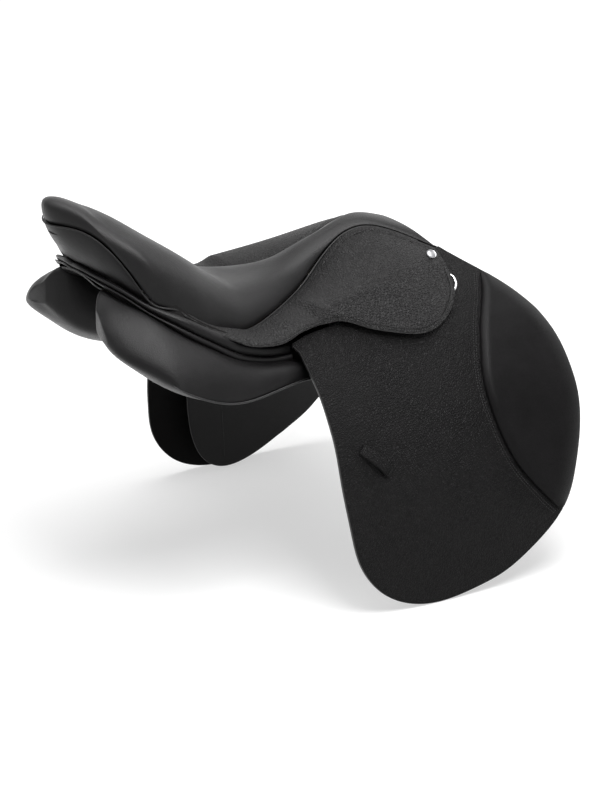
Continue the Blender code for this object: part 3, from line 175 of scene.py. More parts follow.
# Stitching and creases end here, where the skirt runs out into its tail
SKIRT_TAIL_FREE = -0.050
SKIRT_TAIL = metres(((-134, 115, 81.5), (-112, 119.5, 67.7)))
SWEAT_FLAP = metres((
    (40, 300), (43, 334), (47, 362), (54, 394), (64, 418), (76, 434), (98, 446), (116, 447), (138, 442), (164, 431),
    (193, 415), (223, 397), (246, 375), (266, 345), (279, 305), (287, 262), (288, 225), (282, 190), (268, 155),
    (250, 128), (232, 110), (205, 102), (100, 102), (45, 106), (36, 150), (34, 200), (36, 260),
))
KNEE_BLOCK = metres((
    (222, 128), (240, 134), (256, 160), (269, 195), (275, 230), (273, 265), (266, 300), (255, 325), (244, 325),
    (232, 300), (224, 262), (220, 225), (216, 190), (213, 155),
))
KEEPER_LINE = metres(((25.5, 267), (55.5, 298.5)))
# Lining of the channel: x, height at its sides, height in its middle
CHANNEL = metres((
    (188, 56, 88), (160, 53, 85), (130, 50, 74), (100, 46, 64), (40, 34.5, 44), (-13, 29, 34.5), (-60, 36, 42),
    (-100, 48, 56), (-130, 68, 77), (-145, 80, 88.5), (-165, 90, 97), (-184, 96.5, 103), (-196.5, 105, 109),
))
# Outer and inner edge of the pommel's facing: y and z
POMMEL_ARCH = metres((
    ((0, 108.5), (20, 106.8), (36, 102.8), (48, 95.5), (56, 86), (60, 77)),
    ((0, 89.5), (14, 87.5), (26, 80), (34, 70), (38.5, 64), (42, 60)),
))
KEEPER_WIDTH = 0.0125
KEEPER_THICKNESS = 0.0022
KEEPER_ARCH = 0.0038
BILLETS = (("front", 0.145), ("middle", 0.115), ("rear", 0.085))
BILLET_WIDTH = 0.0254
BILLET_TOP = 0.128
BILLET_END = 0.410
DEE_BAR = metres(((203.5, 81.5), (195.5, 110.5)))
DEE_BOW = metres(((208.5, 83.5), (213, 89), (212.5, 98), (208, 105.5), (200.5, 111.5)))
SWEAT_SEAM = metres(((92, 106), (88, 200), (86, 300), (92, 360), (98, 410), (100, 444.5)))
BILLET_HOLES = (0.300, 0.325, 0.350, 0.375, 0.275, 0.250)
# The pointed end of a billet: share of its half width, distance from the tip
BILLET_POINT = ((0.94, 0.008), (0.75, 0.003), (0.45, 0.0))
BILLET_SEAM = (0.0078, 0.002, 0.046)
# Hole in a billet: how far it lies below the face, radius, height of its rim
HOLE_SINK = 0.00022
HOLE_RADIUS = 0.0023
HOLE_RIM = 0.0006
# Buckle guard: from and to along the straps, its seams, then cross-sections of its outside and of its hollow
# with two corners in x and level, and how round the corners are
GUARD_SPAN = (0.185, 0.240)
GUARD_SEAMS = (0.1885, 0.2365)
GUARD_OUTSIDE = ((0.0680, -0.0182), (0.1620, -0.0092), 0.16)
GUARD_HOLLOW = ((0.0702, -0.0165), (0.1598, -0.0115), 0.10)
GUARD_MIDDLE = -0.0137
# Where flap and skirt bend: x and length down
FLAP_BEND = ((0.12, 0.1600), (0.12, 0.1890))
SKIRT_HINGE = ((-0.03, 0.145), (0.2085, 0.072))
SKIRT_BEND_PLACE = (0.105, 0.0955)
SKIRT_BEND_LENGTH = 0.020
# Rise of the knee pad and of the knee block at the edge and in full
KNEE_RISE = (0.0009, 0.0079)
BLOCK_RISE = (0.0015, 0.0136)
DEE_LEVEL = 0.0028
DEE_WIRE = 0.0030
STUD_PLACE = (0.197, 0.057)
STUD_RADIUS = 0.0059
STUD_LEVEL = 0.0074
# The stud's head: share of its radius, height
STUD_PROFILE = (
    (0.02, 0.0026), (0.35, 0.0025), (0.62, 0.0021), (0.78, 0.0017), (0.83, 0.0013), (0.88, 0.0015),
    (0.94, 0.0016), (0.99, 0.0011), (1.0, 0.0004), (0.97, -0.0002), (0.3, -0.0003),
)

# Places on the side surface


def side_table():
    """Sideways and upward position of the side surface for each length down it."""
    lengths = np.linspace(0.0, SIDE_SLOPES[-1][0], 461)
    knots, slopes = zip(*SIDE_SLOPES)
    angles = np.radians(np.interp(lengths, knots, slopes))
    step = lengths[1]
    run = np.concatenate(([0.0], np.cumsum((np.cos(angles[1:]) + np.cos(angles[:-1])) * step / 2)))
    fall = np.concatenate(([0.0], np.cumsum((np.sin(angles[1:]) + np.sin(angles[:-1])) * step / 2)))
    return lengths, angles, SIDE_TOP[0] + run, SIDE_TOP[1] - fall


LENGTHS, ANGLES, ACROSS, HEIGHTS = side_table()


def side(x, v, d=0.0):
    """Points at length v down the side surface, d outward from it."""
    x, v, d = np.broadcast_arrays(np.asarray(x, float), np.asarray(v, float), np.asarray(d, float))
    angle = np.interp(v, LENGTHS, ANGLES)
    flare = SIDE_FLARE * (x - 0.12) * np.clip((v - 0.10) / 0.25, 0.0, 1.0)
    ahead = np.clip((x - 0.14) / 0.07, 0.0, 1.0)
    near_top = np.clip(1.0 - (v - 0.05) / 0.10, 0.0, 1.0)
    drop = POMMEL_DROP * ahead * ahead * (3.0 - 2.0 * ahead) * near_top
    y = np.interp(v, LENGTHS, ACROSS) + d * np.sin(angle) + flare
    z = np.interp(v, LENGTHS, HEIGHTS) + d * np.cos(angle) - drop
    return np.stack((x, y, z), axis=-1)


def side_normals(places):
    """Outward directions of the side surface at places given as x and v."""
    x, v = np.asarray(places, float).T
    return unit(side(x, v, 0.01) - side(x, v, 0.0))


# Lines and distances


def cubic(points, places, knots=None):
    """Natural cubic spline through points, read at the given places of its knots."""
    points = np.asarray(points, dtype=float)
    n = len(points)
    if knots is None:
        knots = np.arange(n, dtype=float)
    h = np.diff(knots)
    matrix = np.zeros((n, n))
    right = np.zeros(points.shape)
    matrix[0, 0] = matrix[-1, -1] = 1.0
    for i in range(1, n - 1):
        matrix[i, i - 1] = h[i - 1]
        matrix[i, i] = 2.0 * (h[i - 1] + h[i])
        matrix[i, i + 1] = h[i]
        right[i] = 6.0 * ((points[i + 1] - points[i]) / h[i] - (points[i] - points[i - 1]) / h[i - 1])
    bend = np.linalg.solve(matrix, right.reshape(n, -1)).reshape(points.shape)
    places = np.asarray(places, dtype=float)
    i = np.clip(np.searchsorted(knots, places, side="right") - 1, 0, n - 2)
    shape = (-1,) + (1,) * (points.ndim - 1)
    step = h[i].reshape(shape)
    a = (knots[i + 1] - places).reshape(shape) / step
    b = 1.0 - a
    low = points[i] * a + points[i + 1] * b
    return low + ((a ** 3 - a) * bend[i] + (b ** 3 - b) * bend[i + 1]) * step ** 2 / 6.0


def run_of(points):
    """Length travelled along a line at each of its points."""
    steps = np.linalg.norm(np.diff(points, axis=0), axis=1)
    return np.concatenate(([0.0], np.cumsum(steps)))


def smooth_line(points, spacing):
    """Smooth curve through points, read at even steps of about the given spacing."""
    points = np.asarray(points, dtype=float)
    knots = run_of(points)
    fine = cubic(points, np.linspace(0.0, knots[-1], 40 * len(points)), knots)
    return even_line(fine, max(2, int(round(run_of(fine)[-1] / spacing))))


def smooth_loop(points, spacing):
    """Smooth closed curve through points."""
    return smooth_line(np.concatenate((points, points[:1])), spacing)[:-1]


def even_line(points, count):
    """Line through points, read at count + 1 even steps of its length."""
    points = np.asarray(points, dtype=float)
    run = run_of(points)
    places = np.linspace(0.0, run[-1], count + 1)
    return np.stack([np.interp(places, run, points[:, k]) for k in range(points.shape[1])], axis=1)


def line_distance(places, line, closed=False):
    """Distance in the plane from each place to the nearest stretch of a line."""
    places = np.asarray(places, float)[:, None, :]
    line = np.asarray(line, float)
    start = line if closed else line[:-1]
    end = np.roll(line, -1, axis=0) if closed else line[1:]
    way = (end - start)[None]
    share = np.sum((places - start[None]) * way, axis=2) / np.maximum(np.sum(way * way, axis=2), 1e-12)
    share = np.clip(share, 0.0, 1.0)[..., None]
    return np.min(np.linalg.norm(places - start[None] - way * share, axis=2), axis=1)


def shifted(line, distance):
    """Line in the plane moved sideways, to its rear side where it runs down."""
    ahead = unit(np.gradient(line, axis=0))
    return line + np.stack((-ahead[:, 1], ahead[:, 0]), axis=1) * distance


def unit(vectors):
    """The same directions with length 1."""
    return vectors / np.maximum(np.linalg.norm(vectors, axis=-1, keepdims=True), 1e-12)


def bump_at(distance, centre, width):
    """Height from 0 to 1 that stands at one distance and fades within the width."""
    return np.exp(-((distance - centre) / width) ** 2)


def step_up(value, low, high):
    """Smooth step from 0 at low to 1 at high."""
    share = np.clip((value - low) / (high - low), 0.0, 1.0)
    return share * share * (3.0 - 2.0 * share)


# Meshes


def grid_faces(rows, columns, offset=0, around=False):
    """Four-sided faces of a grid of points; around joins its last column to the first."""
    faces = []
    for r in range(rows - 1):
        for c in range(columns if around else columns - 1):
            n = (c + 1) % columns
            a = offset + r * columns
            b = a + columns
            faces.append((a + c, b + c, b + n, a + n))
    return faces


def shell(outer, inner):
    """Points and faces of a closed solid between two equal grids."""
    rows, columns = outer.shape[:2]
    size = rows * columns
    points = np.concatenate((outer.reshape(-1, 3), inner.reshape(-1, 3)))
    top = grid_faces(rows, columns)
    faces = top + [tuple(size + i for i in face[::-1]) for face in top]
    rim = list(range(columns)) + [r * columns + columns - 1 for r in range(1, rows)]
    rim += [(rows - 1) * columns + c for c in range(columns - 2, -1, -1)]
    rim += [r * columns for r in range(rows - 2, 0, -1)]
    for a, b in zip(rim, rim[1:] + rim[:1]):
        faces.append((a, b, size + b, size + a))
    return points, faces


def mirrored_shell(outer, inner):
    """Closed solid between two grids of the left half and their mirror images."""
    return shell(*(np.concatenate((grid, grid[-2::-1] * FLIP)) for grid in (outer, inner)))


def closed_rings(rings):
    """Points and faces of a solid from equal rings of points, closed at both ends."""
    count = len(rings[0])
    points = np.concatenate(rings)
    ends = [tuple(range(count)), tuple(range(len(points) - 1, len(points) - count - 1, -1))]
    return points, grid_faces(len(rings), count, around=True) + ends


def circle(centre, across, up, radius, sides):
    """Ring of points around a centre."""
    turns = np.linspace(0.0, 2 * math.pi, sides, endpoint=False)[:, None]
    return centre + (across * np.cos(turns) + up * np.sin(turns)) * radius


def tube(line, radius, sides=10, closed=False):
    """Points and faces of a tube along a line, with round ends where it is open."""
    line = np.asarray(line, dtype=float)
    radii = np.broadcast_to(np.asarray(radius, float), (len(line),)).copy()
    if closed:
        ahead = unit(np.roll(line, -1, axis=0) - np.roll(line, 1, axis=0))
    else:
        ahead = unit(np.gradient(line, axis=0))
        away = np.array((0.96, 0.75, 0.4))[:, None]
        narrow = np.sqrt(1.0 - away[:, 0] ** 2)
        first = line[0] - ahead[0] * radii[0] * away
        last = (line[-1] + ahead[-1] * radii[-1] * away)[::-1]
        line = np.concatenate((first, line, last))
        radii = np.concatenate((radii[0] * narrow, radii, radii[-1] * narrow[::-1]))
        ahead = np.concatenate((np.repeat(ahead[:1], 3, axis=0), ahead, np.repeat(ahead[-1:], 3, axis=0)))
    across = unit(np.cross(ahead[0], UP if abs(ahead[0][2]) < 0.9 else (1.0, 0.0, 0.0)))
    rings = []
    for place, way, size in zip(line, ahead, radii):
        across = unit(across - way * np.dot(across, way))
        rings.append(circle(place, across, np.cross(way, across), size, sides))
    if not closed:
        return closed_rings(rings)
    faces = grid_faces(len(rings), sides, around=True)
    last = (len(rings) - 1) * sides
    turn = min(range(sides), key=lambda k: np.linalg.norm(np.roll(rings[0], -k, axis=0) - rings[-1]))
    for c in range(sides):
        n = (c + 1) % sides
        faces.append((last + c, (c + turn) % sides, (n + turn) % sides, last + n))
    return np.concatenate(rings), faces


def stitches(line, normals, pitch=0.0034, length=0.0025, radius=0.0003):
    """Points and faces of a row of thread stitches that lie along a line on a surface."""
    run = run_of(line)
    places = np.arange(pitch, run[-1] - pitch / 2, pitch)
    centres = np.stack([np.interp(places, run, line[:, k]) for k in range(3)], axis=1)
    ahead = unit(np.gradient(line, axis=0))
    ahead = unit(np.stack([np.interp(places, run, ahead[:, k]) for k in range(3)], axis=1))
    up = unit(np.stack([np.interp(places, run, normals[:, k]) for k in range(3)], axis=1))
    across = unit(np.cross(up, ahead))
    turns = np.linspace(0.0, 2 * math.pi, 6, endpoint=False)
    profile = ((-0.5, 0.25, -1.0), (-0.36, 0.9, -0.2), (0.0, 1.0, 0.25), (0.36, 0.9, -0.2), (0.5, 0.25, -1.0))
    shape = np.array([(along * length, math.cos(turn) * wide * radius, (math.sin(turn) * wide + high) * radius)
                      for along, wide, high in profile for turn in turns])
    ways = np.stack((ahead, across, up), axis=1)
    points = centres[:, None] + np.einsum("sk,nkx->nsx", shape, ways)
    one = grid_faces(5, 6, around=True) + [tuple(range(6)), tuple(range(29, 23, -1))]
    faces = []
    for k in range(len(places)):
        faces += [tuple(k * 30 + i for i in face) for face in one]
    return points.reshape(-1, 3), faces


def side_stitches(row, level, *sizes, inward=False):
    """Row of stitches along places on the side surface, or on the inner face of a piece."""
    normals = side_normals(row)
    return stitches(side(row[:, 0], row[:, 1], level), -normals if inward else normals, *sizes)


def joined(parts):
    """Several sets of points and faces as one."""
    points = []
    faces = []
    count = 0
    for some_points, some_faces in parts:
        points.append(np.asarray(some_points))
        faces += [tuple(count + i for i in face) for face in some_faces]
        count += len(some_points)
    return np.concatenate(points), faces


def disc(centre, up, radius, depth):
    """Low domed disc."""
    across = unit(np.cross(up, (0.0, 0.3, 1.0)))
    other = np.cross(up, across)
    profile = ((1.0, -1.0), (1.0, 0.0), (0.8, 0.35), (0.4, 0.2), (0.05, 0.1))
    return closed_rings([circle(centre + up * depth * high, across, other, radius * share, 20)
                         for share, high in profile])


def inset(outline, distance):
    """Closed outline moved inward by a small distance."""
    ahead = unit(np.roll(outline, -1, axis=0) - np.roll(outline, 1, axis=0))
    inward = np.stack((-ahead[:, 1], ahead[:, 0]), axis=1)
    area = np.sum(outline[:, 0] * np.roll(outline[:, 1], -1) - outline[:, 1] * np.roll(outline[:, 0], -1))
    return outline + inward * distance * (1.0 if area > 0 else -1.0)


def leather(outline, top_level, low_level, spacing=0.004, rim=0.0009, surface=side):
    """Piece of leather on a surface, by default the side surface, from its outline in x and v.

    A level is a number, or a function of the places and their distance from the edge.
    Gives points, faces and for each face True where it is the cut edge."""
    outline = np.asarray(outline, float)
    rings = [outline, inset(outline, rim * 0.4), inset(outline, rim * 1.3)]
    low = outline.min(axis=0)
    high = outline.max(axis=0)
    rows = int((high[1] - low[1]) / (spacing * 0.866)) + 1
    columns = int((high[0] - low[0]) / spacing) + 2
    v, x = np.meshgrid(low[1] + np.arange(rows) * spacing * 0.866, low[0] + np.arange(columns) * spacing,
                       indexing="ij")
    x = x + (np.arange(rows) % 2)[:, None] * spacing / 2
    places = np.stack((x.ravel(), v.ravel()), axis=1)
    places = places[inside(places, rings[2])]
    places = places[line_distance(places, rings[2], closed=True) > spacing * 0.45]
    count = len(outline)
    verts = [Vector(place) for place in np.concatenate((rings[2], places))]
    edges = [(i, (i + 1) % count) for i in range(count)]
    flat, _, triangles, origins, _, _ = geometry.delaunay_2d_cdt(verts, edges, [], 1, 1e-7)
    middle = np.array([(p.x, p.y) for p in flat])
    ring_index = {original: i for i, ids in enumerate(origins) for original in ids if original < count}
    flat_all = np.concatenate((rings[0], rings[1], middle))
    edge = line_distance(flat_all, outline, closed=True)
    top, below = (level(flat_all, edge) if callable(level) else np.full(len(edge), level)
                  for level in (top_level, low_level))
    round_off = np.zeros(len(flat_all))
    round_off[:count] = rim
    round_off[count:2 * count] = rim * 0.30
    points = np.concatenate((surface(flat_all[:, 0], flat_all[:, 1], top - round_off),
                             surface(flat_all[:, 0], flat_all[:, 1], below + round_off * 0.6)))
    faces = []
    cut_edge = []
    size = len(flat_all)

    def both_sides(face, cut):
        faces.extend((face, tuple(size + k for k in face[::-1])))
        cut_edge.extend((cut, cut))

    for i in range(count):
        j = (i + 1) % count
        both_sides((i, j, count + j, count + i), True)
        both_sides((count + i, count + j, 2 * count + ring_index[j], 2 * count + ring_index[i]), False)
        faces.append((j, i, size + i, size + j))
        cut_edge.append(True)
    for triangle in triangles:
        both_sides(tuple(2 * count + k for k in triangle), False)
    return points, faces, cut_edge


def inside(places, outline):
    """True for each place inside a closed outline."""
    result = np.zeros(len(places), bool)
    x, v = places[:, 0], places[:, 1]
    for (x0, v0), (x1, v1) in zip(outline, np.roll(outline, -1, axis=0)):
        crosses = (v0 > v) != (v1 > v)
        if v1 != v0:
            result ^= crosses & (x < (x1 - x0) * (v - v0) / (v1 - v0) + x0)
    return result


# Objects


def object_from(name, points, faces, materials, slots=None):
    """Object with smooth shading from points and faces."""
    mesh = bpy.data.meshes.new(name)
    mesh.from_pydata([tuple(p) for p in np.asarray(points)], [], faces)
    for material in materials:
        mesh.materials.append(material)
    if slots is not None:
        mesh.polygons.foreach_set("material_index", np.asarray(slots, dtype=np.int32))
    mesh.update()
    bm = bmesh.new()
    bm.from_mesh(mesh)
    bmesh.ops.recalc_face_normals(bm, faces=bm.faces[:])
    bm.to_mesh(mesh)
    bm.free()
    mesh.shade_smooth()
    mesh.set_sharp_from_angle(angle=math.radians(55))
    obj = bpy.data.objects.new(name, mesh)
    bpy.context.scene.collection.objects.link(obj)
    return obj


def place(name, points, faces, materials, body="saddle", stands_for=(), record="leather", slots=None, bend=None,
          fill=None):
    """Piece of the saddle that rides on a body; one given a bend is left where it stands, on no body."""
    obj = object_from(name, points, faces, materials, slots)
    if stands_for:
        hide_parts(*stands_for)
    if bend:
        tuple(bend[2])
        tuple(bend[3])
        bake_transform(obj)
    else:
        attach(obj, body)


def place_pair(name, points, faces, materials, body="saddle", stands_for=(), record="leather", slots=None,
               bend=None, fill=None):
    """Left piece and its mirror image on the right."""
    for hand, turn in (("left", FLIP ** 2), ("right", FLIP)):
        nodes = [node + "_" + hand for node in stands_for]
        ride_on = body if body == "saddle" else body + "_" + hand
        two = bend and ("saddle", bend[0] + "_" + hand, tuple(bend[1] * turn), tuple(bend[2] * turn))
        place(name + "_" + hand, np.asarray(points) * turn, faces, materials, ride_on, nodes, record, slots,
              two, fill)


# Materials


def feed(tree, node, inputs):
    """Set a node's inputs: a socket is linked, anything else becomes the input's own value."""
    for key, value in inputs.items():
        if isinstance(value, bpy.types.NodeSocket):
            tree.links.new(value, node.inputs[key])
        else:
            node.inputs[key].default_value = value


def adder(tree):
    """Function that adds a node with its inputs and settings, and gives one of its outputs."""

    def add(kind, inputs=None, output=0, **settings):
        node = tree.nodes.new("ShaderNode" + kind)
        for key, value in settings.items():
            setattr(node, key, value)
        feed(tree, node, inputs or {})
        return node.outputs[output]

    return add


def node_tree(name):
    """New material with its nodes, its shader and its adder."""
    material = bpy.data.materials.new(name)
    material.use_nodes = True
    tree = material.node_tree
    return material, tree, tree.nodes["Principled BSDF"], adder(tree)


def leather_material(name, dark, light, roughness, grain, depth, spread=0.05, crease=0.0, specular=0.5,
                     pebble=0.0):
    """Black leather: pore-like or pebbled grain, fine creases, mottled gloss, and painted shade that darkens the
    grooves between the grain's cells.
    """
    material, tree, shader, add = node_tree(name)
    where = add("TexCoord", output="Object")
    warp = add("TexNoise", {"Vector": where, "Scale": grain * 0.35, "Detail": 2.0}, "Color")
    warped = add("VectorMath", {0: warp, 1: (1.1 / grain,) * 3, 2: where}, operation="MULTIPLY_ADD")
    cells = add("TexVoronoi", {"Vector": warped, "Scale": grain}, feature="DISTANCE_TO_EDGE")
    pillows = add("MapRange", {"Value": cells, "From Min": 0.0, "From Max": 0.22 + 0.2 * pebble})
    fine = add("TexNoise", {"Vector": where, "Scale": grain * 2.2, "Detail": 3.0})
    broad = add("TexNoise", {"Vector": where, "Scale": 26.0, "Detail": 5.0, "Roughness": 0.55})
    height = add("Math", {0: fine, 1: 0.45, 2: pillows}, operation="MULTIPLY_ADD")
    if crease:
        folds = add("TexNoise", {"Vector": where, "Scale": 34.0, "Detail": 4.0, "Distortion": 0.6},
                    noise_type="RIDGED_MULTIFRACTAL")
        height = add("Math", {0: folds, 1: -crease, 2: height}, operation="MULTIPLY_ADD")
    middle = {"Value": broad, "From Min": 0.3, "From Max": 0.7}
    tint = two_tones(add, add("MapRange", middle), dark, light)
    # Painted shade: the colour is darkened in the grooves along the edges of the grain's cells
    painted_groove_shade = add("MapRange", {"Value": pillows, "From Min": 0.0, "From Max": 0.6, "To Min": 1.0, "To Max": 0.0})
    feed(tree, shader, {
        "Base Color": add("Mix", {"Factor": painted_groove_shade, "A": tint, "B": (0.45, 0.45, 0.45, 1.0)}, "Result",
                          data_type="RGBA", blend_type="MULTIPLY"),
        "Roughness": add("MapRange", {**middle, "To Min": roughness - spread, "To Max": roughness + spread}),
        "Normal": add("Bump", {"Height": height, "Strength": 1.0, "Distance": depth}),
        "Specular IOR Level": specular})
    return material


def two_tones(add, share, dark, light):
    """Colour between two by a share."""
    return add("Mix", {"Factor": share, "A": (*dark, 1.0), "B": (*light, 1.0)}, "Result", data_type="RGBA")


def plain_material(name, dark, light, roughness, metallic=0.0, scale=300.0, depth=0.00005, stretch=(1, 1, 1),
                   specular=0.5):
    """Metal, thread, wood or foam: two tones, with fine marks in gloss and height."""
    material, tree, shader, add = node_tree(name)
    where = add("Mapping", {"Vector": add("TexCoord", output="Object"), "Scale": stretch})
    noise = add("TexNoise", {"Vector": where, "Scale": scale, "Detail": 4.0})
    feed(tree, shader, {
        "Base Color": two_tones(add, noise, dark, light),
        "Roughness": add("MapRange", {"Value": noise, "To Min": roughness * 0.75,
                                      "To Max": min(roughness * 1.25, 1.0)}),
        "Normal": add("Bump", {"Height": noise, "Distance": depth}),
        "Metallic": metallic, "Specular IOR Level": specular})
    return material


def web_material(name):
    """Off-white woven web: crossing threads in colour and height."""
    material, tree, shader, add = node_tree(name)
    where = add("TexCoord", output="Object")
    waves = [add("TexWave", {"Vector": where, "Scale": 260.0, "Distortion": 0.4}, "Fac", wave_type="BANDS",
                 bands_direction=direction) for direction in ("X", "Z")]
    both = add("Math", dict(enumerate(waves)), operation="MULTIPLY")
    feed(tree, shader, {"Base Color": two_tones(add, both, (0.42, 0.40, 0.34), (0.78, 0.75, 0.66)),
                        "Normal": add("Bump", {"Height": both, "Distance": 0.0004}), "Roughness": 0.85})
    return material


SOFT = leather_material("soft_leather", (0.005, 0.0048, 0.005), (0.009, 0.0085, 0.009), 0.37, 900.0, 0.00006,
                        crease=0.25, specular=0.20)
PANEL_SKIN = leather_material("panel_leather", (0.0055, 0.0052, 0.0055), (0.009, 0.0085, 0.009), 0.38, 800.0,
                              0.00006, crease=0.3, specular=0.17)
# The knee pad's leather is a darker copy of the soft leather: painted shade that makes the pad darker than the same
# leather elsewhere
SHADED_KNEE_SKIN = leather_material("knee_leather", (0.004, 0.0038, 0.004), (0.007, 0.0065, 0.007), 0.40, 800.0, 0.00006,
                             crease=0.2, specular=0.09)
GRAIN = leather_material("grain_leather", (0.0045, 0.0042, 0.0045), (0.009, 0.0085, 0.0088), 0.42, 320.0, 0.00085,
                         specular=0.17, pebble=0.5)
FLAP_GRAIN = leather_material("flap_leather", (0.004, 0.0038, 0.004), (0.008, 0.0075, 0.0078), 0.45, 400.0, 0.00060,
                              specular=0.10, pebble=0.4)
FLESH = leather_material("flap_inside", (0.004, 0.0037, 0.0037), (0.007, 0.0065, 0.0065), 0.62, 1100.0, 0.00005,
                         specular=0.06)
PIPING = leather_material("piping_leather", (0.010, 0.010, 0.011), (0.018, 0.0175, 0.018), 0.34, 900.0, 0.00003,
                          spread=0.04, specular=0.35)
# Cut edges: a glossier edge finish, and a lighter tone that is painted highlight along the rounded edges
EDGE_FINISH_AND_HIGHLIGHT = plain_material("cut_edge", (0.012, 0.0115, 0.012), (0.024, 0.023, 0.023), 0.38, scale=500.0)
THREAD = plain_material("thread", (0.005, 0.005, 0.005), (0.012, 0.012, 0.012), 0.45, 0.0, 2500.0, 0.00004)
# Near-black painted shade: the insides of the billets' holes and the grooves of the skirt's creases
PAINTED_SHADE = plain_material("punched_hole", (0.003, 0.003, 0.003), (0.006, 0.006, 0.006), 0.8, scale=900.0, specular=0.1)
NICKEL = plain_material("nickel", (0.74, 0.74, 0.75), (0.84, 0.84, 0.85), 0.22, 1.0, 160.0, 0.000015)
STUD_METAL = plain_material("stud_metal", (0.30, 0.30, 0.31), (0.42, 0.42, 0.43), 0.30, 1.0, 220.0, 0.00004)
BAR_STEEL = plain_material("bar_steel", (0.50, 0.50, 0.51), (0.64, 0.64, 0.65), 0.34, 1.0, 90.0, 0.00003,
                           (0.15, 1, 1))
PLATE_STEEL = plain_material("plate_steel", (0.22, 0.23, 0.25), (0.34, 0.35, 0.37), 0.42, 1.0, 120.0, 0.00004,
                             (1, 0.2, 0.2))
BEECH = plain_material("beech", (0.44, 0.28, 0.15), (0.60, 0.41, 0.24), 0.55, 0.0, 60.0, 0.0001, (0.12, 1, 3))
FOAM = plain_material("foam", (0.66, 0.60, 0.42), (0.80, 0.75, 0.58), 0.9, 0.0, 700.0, 0.0004)
WEB = web_material("web")

# Seat


def seat_grid():
    """Seat surface from pommel to cantle, from the centre line out to the welt."""
    beyond = SEAT[-2:-5:-1] * FLIP
    rows = cubic(np.concatenate((SEAT, beyond)), np.linspace(0.0, len(SEAT) - 1.0, SEAT_ROWS + 1))
    grid = []
    for row in rows:
        whole = np.concatenate((row[:0:-1] * FLIP, row))
        fine = cubic(whole, np.linspace(0.0, len(whole) - 1.0, 2 * SEAT_COLUMNS + 1))
        grid.append(fine[SEAT_COLUMNS:])
    grid = np.array(grid)
    grid[:, 0, 1] = 0.0
    grid[-1, :, 1] = 0.0
    return grid


seat = seat_grid()


def grid_normals(grid):
    """Unit normals of a grid of points, with rows running back and columns running left."""
    return unit(np.cross(np.gradient(grid, axis=1), np.gradient(grid, axis=0)))


def build_seat():
    """Soft leather over foam, turned in at the welt and over the pommel."""
    ahead = unit(seat[0] - seat[1])
    nose = [seat[0] + (ahead * math.sin(angle) - UP * (1 - math.cos(angle))) * 0.0030
            for angle in np.radians((75, 50, 25))]
    rows = np.concatenate((nose, seat))
    whole = np.concatenate((rows[:, :0:-1] * FLIP, rows), axis=1)
    normals = grid_normals(whole)
    share = np.linspace(-1.0, 1.0, whole.shape[1])[None, :, None]
    tuck = 0.0014 * np.abs(share) ** 40
    outer = whole - normals * tuck
    inner = whole - normals * 0.0025
    inner[-1, :, 1] = 0.0
    points, faces = shell(outer, inner)
    place("seat_skin", points, faces, [SOFT], stands_for=["seat_cover"], fill=0.9)


def welt_line():
    """Edge of the seat with its outward horizontal direction, from pommel to cantle."""
    line = seat[:, -1]
    ahead = np.gradient(line, axis=0)
    outward = unit(np.stack((ahead[:, 1], -ahead[:, 0], np.zeros(len(ahead))), axis=1))
    wrong = (outward[:, 1] < 0) | ((np.abs(outward[:, 1]) < 1e-6) & (outward[:, 0] > 0))
    outward[wrong] *= -1.0
    outward[-1] = (-1.0, 0.0, 0.0)
    return line, outward


WELT, WELT_OUT = welt_line()


def build_welt():
    """Piped welt under the seat's edge, finer along the cantle's seam."""
    share = np.abs(WELT_OUT[:, 1])[:, None]
    line = WELT + WELT_OUT * (0.0002 + 0.0014 * share) - UP * (0.0019 - 0.0005 * share)
    line[-1, 1] = 0.0010
    rows = np.arange(len(line))
    radius = 0.00135 - 0.00045 * step_up(rows, CANTLE_ROW - 8, CANTLE_ROW + 8)
    place_pair("welt", *tube(line[4:], radius[4:]), [SOFT], stands_for=["seat_welt"])


def build_seam_allowance():
    """The cover's turned-in edge, behind the welt and the cantle's seam."""
    grid = np.stack([WELT - WELT_OUT * (0.0024 + 0.10 * max(depth, 0.0)) - UP * depth
                     for depth in (-0.0008, 0.004, 0.008, 0.0125)], axis=1)
    grid[-1, :, 1] = 0.0
    inner = grid - WELT_OUT[:, None] * 0.0009
    inner[-1, :, 1] = 0.0
    place("seam_allowance", *mirrored_shell(grid, inner), [FLESH])


def build_cantle():
    """Soft leather between the seat's rear seam and the roll."""
    row = CANTLE_ROW
    upper = WELT[row:] - WELT_OUT[row:] * 0.0002 - UP * 0.0022
    upper[-1, 1] = 0.0
    count = len(upper) - 1
    lower = even_line(ROLL_TOP[:6], count)[::-1] + UP * 0.0006
    tuck = step_up(-lower[:, 1], -0.050, -0.006)[:, None]
    lower = lower + np.array(CANTLE_TUCK) * tuck
    lower[-1, 1] = 0.0
    columns = 14
    share = np.linspace(0.0, 1.0, columns)[None, :, None]
    along = np.clip(np.arange(count + 1) / (count * 0.4), 0.0, 1.0)[:, None, None]
    grid = upper[:, None] * (1 - share) + lower[:, None] * share
    bulge = 0.0035 * np.sin(share * math.pi) ** 0.8 * np.sin(along * math.pi / 2)
    grid = grid + WELT_OUT[row:][:, None] * bulge
    normals = grid_normals(grid)
    facing = 1.0 if normals[-2][columns // 2][0] < 0 else -1.0
    inner = grid - normals * facing * 0.0022
    inner[:, :, 1] = np.maximum(inner[:, :, 1], 0.0)
    inner[-1, :, 1] = 0.0
    place("cantle_skin", *mirrored_shell(grid, inner), [SOFT], stands_for=["cantle_back"])


# Skirts


